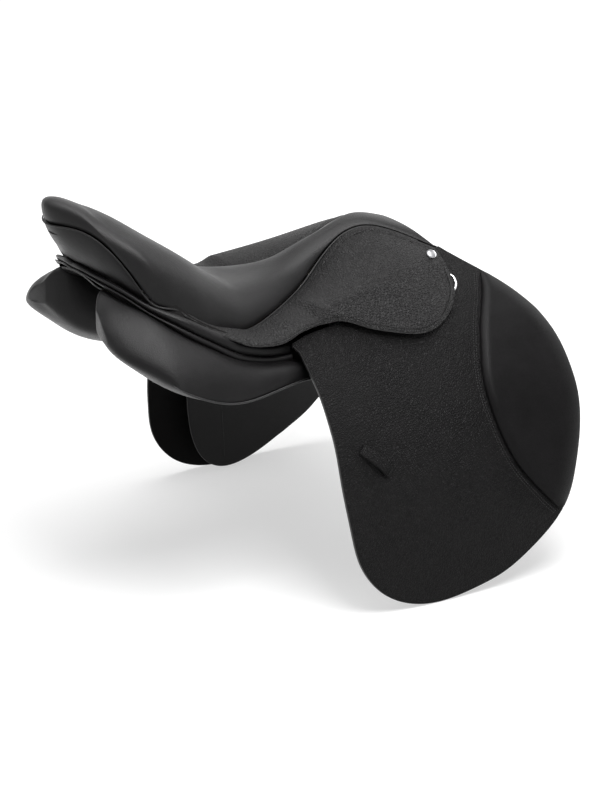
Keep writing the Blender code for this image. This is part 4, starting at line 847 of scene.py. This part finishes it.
def skirt_lines():
    """For each x along the skirt: its edge at the welt, the line below which it lies on the
    side surface, that line's length down, and the way the leather runs there."""
    last = CANTLE_ROW - 2
    top = WELT[:last] + WELT_OUT[:last] * 0.0034 - UP * 0.0002
    top = top[np.argsort(top[:, 0])]
    tail_count = len(SKIRT_TAIL)
    flat = even_line(np.concatenate((SKIRT_REAR_EDGE, SKIRT_FLEX)), 160)
    on_side = side(flat[:, 0], flat[:, 1], SKIRT_OUTER)
    ahead = unit(side(flat[:, 0], flat[:, 1] + 0.002, SKIRT_OUTER) - on_side)
    line = np.concatenate((SKIRT_TAIL, on_side))
    v = np.concatenate((np.full(tail_count, flat[0, 1]), flat[:, 1]))
    ahead = np.concatenate((np.repeat(ahead[:1], tail_count, axis=0), ahead))
    return top, line, v, ahead


SKIRT_TOP, SKIRT_LINE, SKIRT_LINE_V, SKIRT_WAY = skirt_lines()


def along_x(x, line, values):
    """Values of a line's points read at the given x."""
    return np.stack([np.interp(x, line[:, 0], values[:, k]) for k in range(values.shape[1])], axis=-1)


def skirt_start_v(x):
    """Length down at which the skirt starts, measured back from the side surface."""
    reach = np.linalg.norm(along_x(x, SKIRT_LINE, SKIRT_LINE) - along_x(x, SKIRT_TOP, SKIRT_TOP), axis=-1)
    return np.interp(x, SKIRT_LINE[:, 0], SKIRT_LINE_V) - reach


def skirt_surface(x, v, d=0.0):
    """Points on the skirt: an even curve from the welt to the side surface, then along it."""
    x, v, d = np.broadcast_arrays(np.asarray(x, float), np.asarray(v, float), np.asarray(d, float))
    end_v = np.interp(x, SKIRT_LINE[:, 0], SKIRT_LINE_V)
    start_v = skirt_start_v(x)
    share = np.clip((v - start_v) / np.maximum(end_v - start_v, 1e-4), 0.0, 1.0)[..., None]
    start = along_x(x, SKIRT_TOP, SKIRT_TOP)
    end = along_x(x, SKIRT_LINE, SKIRT_LINE)
    chord = end - start
    reach = np.linalg.norm(chord, axis=-1, keepdims=True)
    chord = chord / reach
    leave = unit(along_x(x, SKIRT_LINE, SKIRT_WAY))
    mirrored = 2.0 * chord * np.sum(chord * leave, axis=-1, keepdims=True) - leave
    enter = unit(chord * (1.0 - SKIRT_ROUNDING) + mirrored * SKIRT_ROUNDING)
    a, b = share ** 2, share ** 3
    points = (start * (2 * b - 3 * a + 1) + end * (3 * a - 2 * b)
              + enter * reach * (b - 2 * a + share) + leave * reach * SKIRT_ROUNDING * (b - a))
    slope = (start * (6 * a - 6 * share) + end * (6 * share - 6 * a)
             + enter * reach * (3 * a - 4 * share + 1) + leave * reach * SKIRT_ROUNDING * (3 * a - 2 * share))
    normal = unit(np.stack((0.0 * x, -slope[..., 2], slope[..., 1]), axis=-1))
    below = end + side(x, v, SKIRT_OUTER + d) - side(x, end_v, SKIRT_OUTER)
    return np.where((v > end_v)[..., None], below, points + normal * d[..., None])


def build_skirts():
    """Skirt with its band along the welt, edge crease and stitching."""
    xs = np.linspace(SKIRT_TOP[-1, 0], SKIRT_TAIL[0][0] + 0.0005, 150)
    welt_flat = np.stack((xs, skirt_start_v(xs)), axis=1)
    welt_flat = even_line(welt_flat, int(run_of(welt_flat)[-1] / 0.003))
    tail = [(point[0], SKIRT_LINE_V[0]) for point in SKIRT_TAIL]
    lower = smooth_line(np.concatenate((tail, SKIRT_REAR_EDGE, SKIRT_EDGE)), 0.003)
    outline = np.concatenate((welt_flat, lower[1:]))

    def top_level(flat, _=None):
        from_welt = line_distance(flat, welt_flat)
        from_edge = line_distance(flat, lower)
        wide = step_up(from_welt + from_edge, 0.018, 0.030)
        result = 0.0009 * bump_at(from_welt, 0.0045, 0.0034) * wide
        result -= 0.0007 * bump_at(from_welt, 0.0092, 0.0009) * wide
        result -= 0.0005 * bump_at(from_edge, 0.0046, 0.0006)
        return result

    rear, front = (side(*place, SKIRT_OUTER) for place in SKIRT_HINGE)
    down = unit(np.cross(front - rear, side_normals((0.10, 0.10))))
    if down[2] > 0:
        down = -down
    middle = side(*SKIRT_BEND_PLACE, SKIRT_OUTER)
    middle = rear + (front - rear) * np.dot(middle - rear, front - rear) / np.dot(front - rear, front - rear)
    bend = ("skirt_lobe", middle, middle + down * SKIRT_BEND_LENGTH)
    points, faces, cut_edge = leather(outline, top_level, -0.0023, 0.0036, 0.0008, skirt_surface)
    place_pair("skirt_leather", points, faces, [GRAIN, EDGE_FINISH_AND_HIGHLIGHT], stands_for=["skirt", "skirt_lobe"], slots=cut_edge,
               bend=bend)

    def clear_of_tail(line):
        return line[line[:, 0] > SKIRT_TAIL_FREE]

    row = clear_of_tail(inset(outline, 0.0034)[len(welt_flat) + 1:-1])
    level = top_level(row)
    line = skirt_surface(row[:, 0], row[:, 1], level + 0.00005)
    normals = unit(skirt_surface(row[:, 0], row[:, 1], level + 0.01) - line)
    place_pair("skirt_stitching", *stitches(line, normals, 0.0030, 0.0022), [THREAD], bend=bend)
    line = clear_of_tail(inset(outline, 0.0054)[len(welt_flat) + 4:-4])
    crease("skirt_edge_crease", line, top_level(line), 0.00040, bend=bend)
    line = clear_of_tail(shifted(welt_flat, -0.0092))
    line = line[line[:, 0] < 0.192]
    crease("skirt_band_crease", line, top_level(line), 0.00045)


def crease(name, line, levels, width, **placing):
    """Tooled line on the skirt: a thin tube of painted shade in its groove, and a lighter tube of painted highlight
    along its lip.
    """
    for part, offset, radius, material in (("groove", 0.0, width, PAINTED_SHADE), ("lip", 1.7 * width, 0.7 * width, EDGE_FINISH_AND_HIGHLIGHT)):
        moved = shifted(line, offset) if offset else line
        path = skirt_surface(moved[:, 0], moved[:, 1], levels + 0.15 * width)
        place_pair(f"{name}_{part}", *tube(path, radius, sides=6), [material], **placing)


# Flaps


def knee_level(from_seam, from_front):
    """Height of the knee pad above the flap."""
    low, high = KNEE_RISE
    near_seam = np.clip(from_seam / 0.0085, 0.0, 1.0)
    near_front = np.clip(from_front / 0.026, 0.0, 1.0)
    full = np.sqrt(1.0 - (1.0 - near_seam) ** 2) * np.sin(near_front * math.pi / 2) ** 0.8
    return low + (high - low) * full


def build_flaps():
    """Flaps with knee pads and stitching."""
    edge = smooth_line(FLAP_EDGE, 0.0035)
    top = np.concatenate((edge[-1:], FLAP_TOP, edge[:1]))
    outline = np.concatenate((edge, even_line(top, 60)[1:-1]))
    seam = smooth_line(KNEE_SEAM, 0.003)
    bend = ("flap", *(side(*place) for place in FLAP_BEND))

    def flap_top(flat, _):
        from_seam = line_distance(flat, seam)
        return (-0.0004 * bump_at(from_seam, 0.0, 0.0012) - 0.00025 * bump_at(from_seam, 0.0058, 0.0005)
                - 0.00025 * bump_at(from_seam, 0.0088, 0.0005))

    points, faces, cut_edge = leather(outline, flap_top, -FLAP_LEATHER, 0.0042)
    slots = [1 if cut else 2 * (face[0] >= len(points) // 2) for face, cut in zip(faces, cut_edge)]
    place_pair("flap_leather", points, faces, [FLAP_GRAIN, EDGE_FINISH_AND_HIGHLIGHT, FLESH], stands_for=["flap_root", "flap"],
               slots=slots, bend=bend)

    front = edge[(edge[:, 1] > 0.0895) & (edge[:, 1] < 0.3735) & (edge[:, 0] > 0.20)]
    front = min(shifted(front, 0.0014), shifted(front, -0.0014), key=lambda line: line[:, 0].mean())
    pad = np.concatenate((seam, front))
    pad = even_line(np.concatenate((pad, pad[:1])), int(run_of(pad)[-1] / 0.003))[:-1]

    def pad_top(flat, _):
        return 0.0003 + knee_level(line_distance(flat, seam), line_distance(flat, front))

    # The knee pad wears the darker leather with painted shade
    place_pair("knee_pad_leather", *leather(pad, pad_top, 0.0001, 0.0036, 0.0005)[:2], [SHADED_KNEE_SKIN],
               stands_for=["knee_pad_top", "knee_pad"], bend=bend, fill=0.8)
    for k, away in enumerate((0.0044, 0.0074)):
        row = shifted(seam, away)
        row = row[row[:, 1] > 0.080]
        place_pair(f"knee_stitching_{k}", *side_stitches(row, 0.0, 0.0031, 0.0023), [THREAD], bend=bend)


def build_keepers():
    """Loops on the flaps for the tails of the stirrup leathers."""
    start, run = KEEPER_LINE[0], KEEPER_LINE[1] - KEEPER_LINE[0]
    across = np.array((-run[1], run[0])) / np.linalg.norm(run) * KEEPER_WIDTH
    along = np.linspace(0.0, 1.0, 41)
    arch = KEEPER_ARCH * np.sin(math.pi * np.clip((along - 0.1) / 0.8, 0.0, 1.0)) ** 0.5
    wide = np.array((-0.5, -0.47, -0.40, -0.2, 0.0, 0.2, 0.40, 0.47, 0.5))
    lift = np.array((-0.0009, -0.0002, 0.0, 0.0, 0.0, 0.0, 0.0, -0.0002, -0.0009))
    flat = start + along[:, None, None] * run + wide[None, :, None] * across
    ends = np.minimum(np.minimum(along, 1 - along) / 0.02, 1.0)
    height = 0.0003 + KEEPER_THICKNESS * 0.9
    top = height + arch[:, None] + lift[None] - (0.0008 * (1 - ends))[:, None]
    low = 0.0002 + arch[:, None] + 0 * lift[None]
    points, faces = shell(*(side(flat[..., 0], flat[..., 1], level) for level in (top, low)))
    place_pair("keeper_leather", points, faces, [FLAP_GRAIN], "flap", ["leather_keeper"])
    rows = []
    for share in (0.055, 0.945):
        row = start + share * run + np.linspace(-0.42, 0.42, 12)[:, None] * across
        rows.append(side_stitches(row, height + np.interp(share, along, arch), 0.0024, 0.0018))
    place_pair("keeper_stitching", *joined(rows), [THREAD], body="flap")


# Under the flap


def build_sweat_flaps():
    """Sweat flaps with their seams, and knee blocks."""
    seam = smooth_line(SWEAT_SEAM, 0.003)

    def inner_face(flat, _):
        return SWEAT_INNER + 0.0004 * bump_at(line_distance(flat, seam), 0.0, 0.0010)

    points, faces, cut_edge = leather(smooth_loop(SWEAT_FLAP, 0.004), SWEAT_OUTER, inner_face, 0.0045, 0.0008)
    place_pair("sweat_flap_leather", points, faces, [PANEL_SKIN, EDGE_FINISH_AND_HIGHLIGHT], stands_for=["sweat_flap"], slots=cut_edge)
    row = seam[4:-3] + np.array((0.0030, 0.0))
    place_pair("sweat_flap_stitching", *side_stitches(row, SWEAT_INNER, inward=True), [THREAD])

    def block_top(_, edge):
        rise = np.sin(np.clip(edge / 0.024, 0.0, 1.0) * math.pi / 2) ** 0.8
        return SWEAT_OUTER + BLOCK_RISE[0] + BLOCK_RISE[1] * rise

    points, faces, _ = leather(smooth_loop(KNEE_BLOCK, 0.0035), block_top, SWEAT_OUTER + 0.0001, 0.0045, 0.0006)
    place_pair("knee_block_leather", points, faces, [SOFT], stands_for=["knee_block"], fill=0.9)


def build_billets():
    """Girth straps with their holes and stitching."""
    for name, x in BILLETS:
        half = [(x - BILLET_WIDTH / 2, v) for v in np.arange(BILLET_TOP, BILLET_END - 0.012, 0.006)]
        half += [(x - BILLET_WIDTH / 2 * share, BILLET_END - back) for share, back in BILLET_POINT]
        strap = np.array(half + [(2 * x - a, v) for a, v in half[::-1]])
        holes = [np.array((x, v)) for v in BILLET_HOLES]

        def strap_top(flat, edge):
            dents = sum(bump_at(np.linalg.norm(flat - hole, axis=1), 0.0, 0.0030) for hole in holes)
            return BILLET_OUTER - 0.00028 * bump_at(edge, 0.0026, 0.0005) - 0.0003 * dents

        points, faces, cut_edge = leather(strap, strap_top, BILLET_INNER, 0.0030)
        place_pair("billet_strap_" + name, points, faces, [FLAP_GRAIN, EDGE_FINISH_AND_HIGHLIGHT], "billets", ["billet_" + name],
                   slots=cut_edge)
        # Each hole is a dark disc of painted shade in place of the hole's shaded inside
        discs = [disc(side(*hole, BILLET_OUTER - HOLE_SINK), side_normals(hole), HOLE_RADIUS, HOLE_RIM)
                 for hole in holes]
        place_pair("billet_holes_" + name, *joined(discs), [PAINTED_SHADE], body="billets")
        away, start, end = BILLET_SEAM
        v = np.linspace(BILLET_TOP + start, BILLET_TOP + end, 40)
        rows = [side_stitches(np.stack((np.full(40, x + shift), v), axis=1), BILLET_OUTER)
                for shift in (-away, away)]
        place_pair("billet_stitching_" + name, *joined(rows), [THREAD], body="billets")


def build_guard():
    """Buckle guard: a flat sleeve around the three straps."""
    turns = np.linspace(0.0, 2 * math.pi, 64, endpoint=False)
    way = np.stack((np.cos(turns), np.sin(turns)), axis=1)

    def sleeve(low, high, rounding):
        low, high = np.array((low, high))
        return (low + high) / 2 + np.abs(way) ** rounding * np.where(way > 0, 1.0, -1.0) * (high - low) / 2

    outer = sleeve(*GUARD_OUTSIDE)
    hollow = sleeve(*GUARD_HOLLOW)
    places = np.linspace(*GUARD_SPAN, 24)
    rings = []
    for v in places:
        rounding = 0.0004 if v in GUARD_SPAN else 0.0
        rings.append(side(outer[:, 0], v, outer[:, 1] - rounding * np.sign(outer[:, 1] - GUARD_MIDDLE)))
    rings += [side(hollow[:, 0], v, hollow[:, 1]) for v in places[::-1]]
    count = len(turns)
    faces = grid_faces(len(rings), count, around=True)
    last = (len(rings) - 1) * count
    faces += [(last + c, c, (c + 1) % count, last + (c + 1) % count) for c in range(count)]
    place_pair("guard_leather", np.concatenate(rings), faces, [FLAP_GRAIN], "buckle_guard", ["buckle_guard"])
    rows = [side_stitches(np.stack((np.linspace(0.072, 0.158, 60), np.full(60, v)), axis=1), GUARD_OUTSIDE[1][1])
            for v in GUARD_SEAMS]
    place_pair("guard_stitching", *joined(rows), [THREAD], body="buckle_guard")


# Panels and roll


def panel_grid(stations=96):
    """Rings of the left panel from back to front; each starts at the inner top edge."""
    counts = (5, 5, 16, 20, 8)
    rings = []
    for section in PANEL:
        x = section[0]
        a, e, d, c, b = section[1:].reshape(5, 2)
        outward = unit(np.array((d[1] - c[1], c[0] - d[0])))
        under = unit(np.array((c[1] - b[1], b[0] - c[0])))
        hang = np.interp(x, *PANEL_SAG.T)
        sags = ((0.0, outward), (0.0, outward), (0.0070, outward), (hang, under), (0.0, under))
        ring = []
        for start, end, count, (sag, way) in zip((a, e, d, c, b), (e, d, c, b, a), counts, sags):
            share = np.arange(count)[:, None] / count
            ring.append(start * (1 - share) + end * share + way * 4 * sag * share * (1 - share))
        rings.append(np.concatenate(ring))
    rings = np.array(rings)
    places = np.linspace(PANEL[0, 0], PANEL[-1, 0], stations)
    fine = cubic(rings, places, PANEL[:, 0])
    for _ in range(PANEL_EVENING):
        fine[1:-1] = 0.5 * fine[1:-1] + 0.25 * (fine[:-2] + fine[2:])
    x = np.repeat(places[:, None], fine.shape[1], axis=1)
    across = step_up(fine[..., 0], *PANEL_LEAN_ACROSS)
    behind = np.clip((PANEL_LEAN_START - places) / (PANEL_LEAN_START - PANEL_LEAN_FULL), 0.0, 1.0)
    x = x - PANEL_LEAN * across * behind[:, None]
    grid = np.concatenate((x[..., None], fine), axis=2)
    return grid, counts


def capped(grid, reach_rear, reach_front):
    """Closed solid of rings, with round ends that stand out by the given reach."""

    def cap(ring, reach):
        centre = ring.mean(axis=0)
        return [centre + (ring - centre) * math.sin(turn) + np.array((reach * math.cos(turn), 0.0, 0.0))
                for turn in np.radians((8, 22, 40, 58, 74))]

    return closed_rings(cap(grid[0], -reach_rear) + list(grid) + cap(grid[-1], reach_front)[::-1])


def relaxed(points, faces, share, rounds):
    """Points moved toward the middle of their neighbours, each by its own share."""
    pairs = set()
    for face in faces:
        for a, b in zip(face, face[1:] + face[:1]):
            pairs.add((min(a, b), max(a, b)))
    pairs = np.array(sorted(pairs))
    count = np.bincount(pairs.ravel(), minlength=len(points))[:, None]
    share = np.asarray(share, float)[:, None]
    for _ in range(rounds):
        total = np.zeros_like(points)
        np.add.at(total, pairs[:, 0], points[pairs[:, 1]])
        np.add.at(total, pairs[:, 1], points[pairs[:, 0]])
        points = points * (1.0 - share) + total / np.maximum(count, 1) * share
    return points


def stuffed(points, faces, held, pressure, furthest):
    """Points of a leather bag after flock has filled it: cloth under pressure, held along its
    seams, with no point further from its start than allowed."""
    obj = object_from("bag", points, faces, [])
    group = obj.vertex_groups.new(name="held")
    group.add([int(i) for i in np.nonzero(held)[0]], 1.0, "REPLACE")
    cloth = obj.modifiers.new("cloth", "CLOTH")
    for key, value in (("quality", 6), ("vertex_group_mass", "held"), ("use_pressure", True),
                       ("uniform_pressure_force", pressure), ("tension_stiffness", 25.0),
                       ("compression_stiffness", 25.0), ("bending_stiffness", 1.0)):
        setattr(cloth.settings, key, value)
    cloth.settings.effector_weights.gravity = 0.0
    cloth.point_cache.frame_start = 1
    cloth.point_cache.frame_end = CLOTH_FRAMES
    scene = bpy.context.scene
    for step in range(1, CLOTH_FRAMES + 1):
        scene.frame_set(step)
    mesh = obj.evaluated_get(bpy.context.evaluated_depsgraph_get()).to_mesh()
    moved = np.empty(len(mesh.vertices) * 3)
    mesh.vertices.foreach_get("co", moved)
    bpy.data.objects.remove(obj, do_unlink=True)
    scene.frame_set(1)
    shift = moved.reshape(-1, 3) - points
    size = np.linalg.norm(shift, axis=1, keepdims=True)
    return points + shift / np.maximum(size, 1e-9) * furthest * np.tanh(size / furthest)


def build_panels():
    """Flocked panels with the piping along their lower edge."""
    grid, counts = panel_grid()
    corner = sum(counts[:3])
    points, faces = capped(grid, PANEL_END, PANEL_FRONT_END)
    count = grid.shape[1]
    column = np.arange(len(points)) % count
    row = np.arange(len(points)) // count
    at_ends = step_up(-points[:, 0], 0.168, 0.190) + step_up(points[:, 0], 0.185, 0.200)
    points = relaxed(points, faces, 0.5 * np.clip(at_ends, 0.0, 1.0), 8)
    held = (column == corner) | (column == sum(counts[:2])) | (column == 0)
    held &= (row > 5) & (row < row.max() - 6)
    points = stuffed(points, faces, held, PANEL_PRESSURE, PANEL_SWELL)
    seam = (column == corner) & (row > 12) & (row < row.max() - 8)
    points = relaxed(points, faces, np.where(seam, 0.06, 0.5), 10)
    place_pair("panel_cushion", points, faces, [PANEL_SKIN], stands_for=["panel"], fill=0.85)
    edge = points.reshape(-1, count, 3)[12:63, corner] + np.array((0.0, 0.0016, -0.0006))
    radius = 0.0011 * np.minimum(np.arange(len(edge)) / 6.0 + 0.3, 1.0)
    place_pair("panel_edge_piping", *tube(edge, radius, sides=8), [PIPING], stands_for=["panel_piping"],
               record="piping")


def build_roll():
    """Stuffed roll over a finer cord, with gathers in the groove between them."""
    count = 150
    top = even_line(smooth_line(ROLL_TOP, 0.002), count)
    low = even_line(smooth_line(ROLL_BOTTOM, 0.002), count)
    parting = 0.66
    shares = np.concatenate((np.linspace(0.0, parting, 11)[:-1], np.linspace(parting, 1.0, 8)))
    along = np.where(shares <= parting, shares / parting, (shares - parting) / (1 - parting))
    swell = np.where(shares <= parting, 0.0054, 0.0036) * np.maximum(np.sin(math.pi * along), 0.0) ** 0.62
    groove = np.exp(-((shares - parting) / 0.09) ** 2)
    behind = np.linspace(1.0, 0.0, 9)[1:-1]
    every = np.concatenate((shares, behind))[:, None]
    sections = []
    for r in range(count + 1):
        a, b = top[r], low[r]
        middle = (a + b) / 2
        ahead = unit(top[min(r + 1, count)] - top[max(r - 1, 0)])
        outward = unit(np.cross(ahead, b - a))
        if np.dot(outward, (-0.3, 1.0, 0.0)) < 0:
            outward = -outward
        turn_in = float(np.clip(1.0 - middle[1] / 0.02, 0.0, 1.0))
        outward = unit(outward * (1 - turn_in) + np.array((-1.0, 0.0, 0.15)) * turn_in)
        thin = 1.0 - 0.35 * step_up(-middle[1], -0.060, -0.020)
        pucker = math.exp(-((middle[0] + 0.122) / 0.022) ** 2)
        ripple = math.sin(2 * math.pi * r / 3.3) * 0.00045 * pucker
        rise = np.concatenate((swell * thin + 0.0006 + ripple * groove * 1.6, -0.0034 * np.sin(math.pi * behind)))
        section = a * (1 - every) + b * every + outward * rise[:, None]
        section[:, 1] = np.maximum(section[:, 1], 0.0003) if r else 0.0
        sections.append(section)
    place_pair("roll_leather", *closed_rings(sections), [PANEL_SKIN], stands_for=["panel_roll"], fill=0.9)


def hidden_strip(name, line, rows):
    """Thin strip of leather behind a line; each row has its way inward and upward."""
    inward = np.where(line[:, 1:2] < 0.03, (1.0, 0.0, 0.0), (0.15, -1.0, 0.0))
    grid = np.stack([line + inward * away + UP * rise for away, rise in rows], axis=1)
    place_pair(name, *shell(grid - inward[:, None] * 0.0006, grid + inward[:, None] * 0.0006), [FLESH])


def build_roll_allowance():
    """The panel's turned-in edge, above the roll and behind the skirt and cantle."""
    line = even_line(smooth_line(ROLL_TOP, 0.002), 120)
    height = (0.009 - 0.006 * step_up(line[:, 0], -0.140, -0.118))[:, None]
    hidden_strip("roll_allowance", line,
                 [(0.0012 + 0.8 * rise * height, rise * height) for rise in (0.0, 0.3, 0.6, 1.0)])


def build_roll_underlap():
    """The panel's upper edge, drawn up behind the roll."""
    line = even_line(smooth_line(ROLL_BOTTOM, 0.002), 120)
    line = line[line[:, 1] > 0.055]
    depth = (0.004 + 0.008 * step_up(line[:, 1], 0.060, 0.090))[:, None]
    hidden_strip("roll_underlap", line,
                 [(0.0034 + 0.3 * share * depth, 0.003 - share * depth) for share in (0.0, 0.35, 0.7, 1.0)])


def build_channel():
    """Lining over the channel and the facing inside the pommel's arch."""
    fine = cubic(CHANNEL, np.linspace(0.0, len(CHANNEL) - 1.0, 80))
    share = np.linspace(-1.0, 1.0, 25)[None, :]
    x = np.repeat(fine[:, :1], 25, axis=1)
    y = 0.0390 * share + 0 * x
    z = fine[:, 1:2] + (fine[:, 2:3] - fine[:, 1:2]) * (1.0 - share ** 2)
    outer = np.stack((x, y, z), axis=-1)
    inner = np.stack((x, y * 0.955, z - 0.0018), axis=-1)
    place("channel_lining", *shell(outer, inner), [PANEL_SKIN], stands_for=["gullet_lining"])

    upper, lower = (cubic(np.concatenate((arch[:0:-1] * (-1.0, 1.0), arch)), np.linspace(0, 10, 61))
                    for arch in POMMEL_ARCH)
    across = np.linspace(0.0, 1.0, 9)[None, :, None]
    flat = upper[:, None] * (1 - across) + lower[:, None] * across
    swell = 0.0012 * np.sin(across[..., 0] * math.pi) ** 0.5
    front = np.stack((0.1912 + swell + 0 * flat[..., 0], flat[..., 0], flat[..., 1]), axis=-1)
    back = np.stack((0.1893 + 0 * flat[..., 0], flat[..., 0], flat[..., 1]), axis=-1)
    place("pommel_facing_leather", *shell(front, back), [SOFT], stands_for=["pommel_facing"])
    path = np.stack((np.full(61, 0.1922), lower[:, 0], lower[:, 1] - 0.0006), axis=1)
    place("pommel_piping", *tube(path, 0.0013, sides=8), [SOFT])


# Metal


def build_metal():
    """Finer dee rings and studs, and finishes for the fittings and the inner parts."""
    ends = [side(*place, DEE_LEVEL) for place in DEE_BAR]
    loop = [ends[0] + (ends[1] - ends[0]) * share for share in (0.0, 0.25, 0.5, 0.75, 1.0)]
    loop = np.array(loop + [side(*place, DEE_LEVEL) for place in DEE_BOW[::-1]])
    for _ in range(3):
        ahead = np.roll(loop, -1, axis=0)
        loop = np.stack((loop * 0.75 + ahead * 0.25, loop * 0.25 + ahead * 0.75), axis=1).reshape(-1, 3)
    place_pair("dee_wire", *tube(loop, DEE_WIRE / 2, sides=14, closed=True), [NICKEL], "dee", ["dee_ring"],
               "nickel")

    centre = side(*STUD_PLACE, 0.0)
    way = unit(side(*STUD_PLACE, 0.1) - centre)
    across = unit(np.cross(way, (1.0, 0.0, 0.0)))
    rings = [circle(centre + way * (STUD_LEVEL + high), across, np.cross(way, across), STUD_RADIUS * wide, 40)
             for wide, high in STUD_PROFILE]
    place_pair("stud_head", *closed_rings(rings), [STUD_METAL], stands_for=["pommel_stud"], record="nickel")

    looks = {"stirrup_bar": BAR_STEEL, "stirrup_bar_catch": BAR_STEEL, "catch_pin": BAR_STEEL,
             "stirrup_bar_bolt": BAR_STEEL, "spring_steel": PLATE_STEEL, "head_plate": PLATE_STEEL, "tree": BEECH,
             "seat_webbing": WEB, "girth_web_front": WEB, "girth_web_rear": WEB, "seat_foam": FOAM,
             "dee_chape": GRAIN}
    for name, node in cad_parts.items():
        kind = name.replace("_left", "").replace("_right", "")
        look = looks.get(kind)
        if look is None or node.hide_render:
            continue
        node.data.materials.clear()
        node.data.materials.append(look)
        if look in (BAR_STEEL, GRAIN):
            rounding = node.modifiers.new("rounding", "BEVEL")
            rounding.width = 0.0004
            rounding.segments = 2
            rounding.limit_method = "ANGLE"


# Stage


def seen_directly(add):
    """1 for a ray from the camera, a mirror or glass, 0 for light that falls on the object."""
    total = add("LightPath", output="Is Camera Ray")
    for name in ("Is Glossy Ray", "Is Transmission Ray"):
        total = add("Math", {0: total, 1: add("LightPath", output=name)}, operation="MAXIMUM")
    return total


def build_stage():
    """Pale floor and backdrop, and soft lamps."""
    scene = bpy.context.scene
    mesh = bpy.data.meshes.new("floor")
    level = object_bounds()[0][2] - 0.0005
    size = FLOOR_SIZE
    mesh.from_pydata([(-size, -size, level), (size, -size, level), (size, size, level), (-size, size, level)], [],
                     [(0, 1, 2, 3)])
    floor = bpy.data.objects.new("floor", mesh)
    scene.collection.objects.link(floor)
    floor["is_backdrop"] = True
    material, tree, shader, add = node_tree("floor")
    mesh.materials.append(material)
    feed(tree, shader, {"Base Color": (0.50, 0.50, 0.50, 1.0), "Roughness": 0.9, "Specular IOR Level": 0.0})
    # Painted light: the floor glows for rays from the camera, a mirror or glass, more so further from the saddle
    # where the lamps light it less
    reach = add("VectorMath", {0: add("TexCoord", output="Object")}, "Value", operation="LENGTH")
    whiter = add("MapRange", {"Value": reach, "From Min": 0.45, "From Max": 1.30, "To Min": 0.55, "To Max": 1.0})
    glow = add("Emission", {"Color": whiter, "Strength": seen_directly(add)})
    both = add("AddShader", {0: shader.outputs["BSDF"], 1: glow})
    feed(tree, tree.nodes["Material Output"], {"Surface": both})

    world = scene.world or bpy.data.worlds.new("studio")
    scene.world = world
    world.use_nodes = True
    tree = world.node_tree
    tree.nodes.clear()
    add = adder(tree)
    fill, white = (add("Background", {"Color": (1.0, 1.0, 1.0, 1.0), "Strength": strength})
                   for strength in (FILL_STRENGTH, 1.0))
    backdrop = add("MixShader", {0: seen_directly(add), 1: fill, 2: white})
    feed(tree, tree.nodes.new("ShaderNodeOutputWorld"), {"Surface": backdrop})

    for name, position, size, power in LAMPS:
        data = bpy.data.lights.new(name, "AREA")
        data.shape = "RECTANGLE"
        data.size = data.size_y = size
        data.energy = power
        lamp = bpy.data.objects.new(name, data)
        lamp.location = position
        lamp.rotation_euler = (Vector() - Vector(position)).to_track_quat("-Z", "Y").to_euler()
        scene.collection.objects.link(lamp)


FLOOR_SIZE = 6.0
FILL_STRENGTH = 0.12
# Lamps that aim at the origin: position, side of the square, power
LAMPS = (
    ("top", (0.0, 0.0, 1.4), 1.4, 26.0), ("front", (0.0, -0.85, 1.35), 0.7, 22.0),
    ("right", (2.0, 0.2, 0.9), 1.0, 5.0), ("left", (-1.4, 0.2, 1.5), 1.0, 9.0),
)
AZIMUTH = math.radians(31.5)
ELEVATION = math.radians(19.5)
CAMERA_DISTANCE = 2.5
CAMERA_TARGET = Vector((0.078, 0.0, -0.085))
PIXELS_PER_METRE = 875.7
IMAGE_HEIGHT = 800
SENSOR_HEIGHT = 24.0


def build_camera():
    """Camera at the photograph's angle."""
    a, e = AZIMUTH, ELEVATION
    scene = bpy.context.scene
    right = Vector((math.cos(a), -math.sin(a), 0.0))
    up = Vector((math.sin(a) * math.sin(e), math.cos(a) * math.sin(e), math.cos(e)))
    back = Vector((-math.sin(a) * math.cos(e), -math.cos(a) * math.cos(e), math.sin(e)))
    data = bpy.data.cameras.new("camera")
    data.sensor_fit = "VERTICAL"
    data.sensor_height = SENSOR_HEIGHT
    data.lens = SENSOR_HEIGHT * PIXELS_PER_METRE * CAMERA_DISTANCE / IMAGE_HEIGHT
    camera = bpy.data.objects.new("camera", data)
    turn = Matrix((right, up, back)).transposed().to_4x4()
    camera.matrix_world = Matrix.Translation(CAMERA_TARGET + back * CAMERA_DISTANCE) @ turn
    scene.collection.objects.link(camera)
    scene.camera = camera
    scene.view_settings.view_transform = "Standard"


for build in (
    build_seat, build_welt, build_seam_allowance, build_cantle, build_skirts, build_flaps, build_keepers,
    build_sweat_flaps, build_billets, build_guard, build_panels, build_roll, build_roll_allowance,
    build_roll_underlap, build_channel, build_metal, build_camera, build_stage,
):
    build()
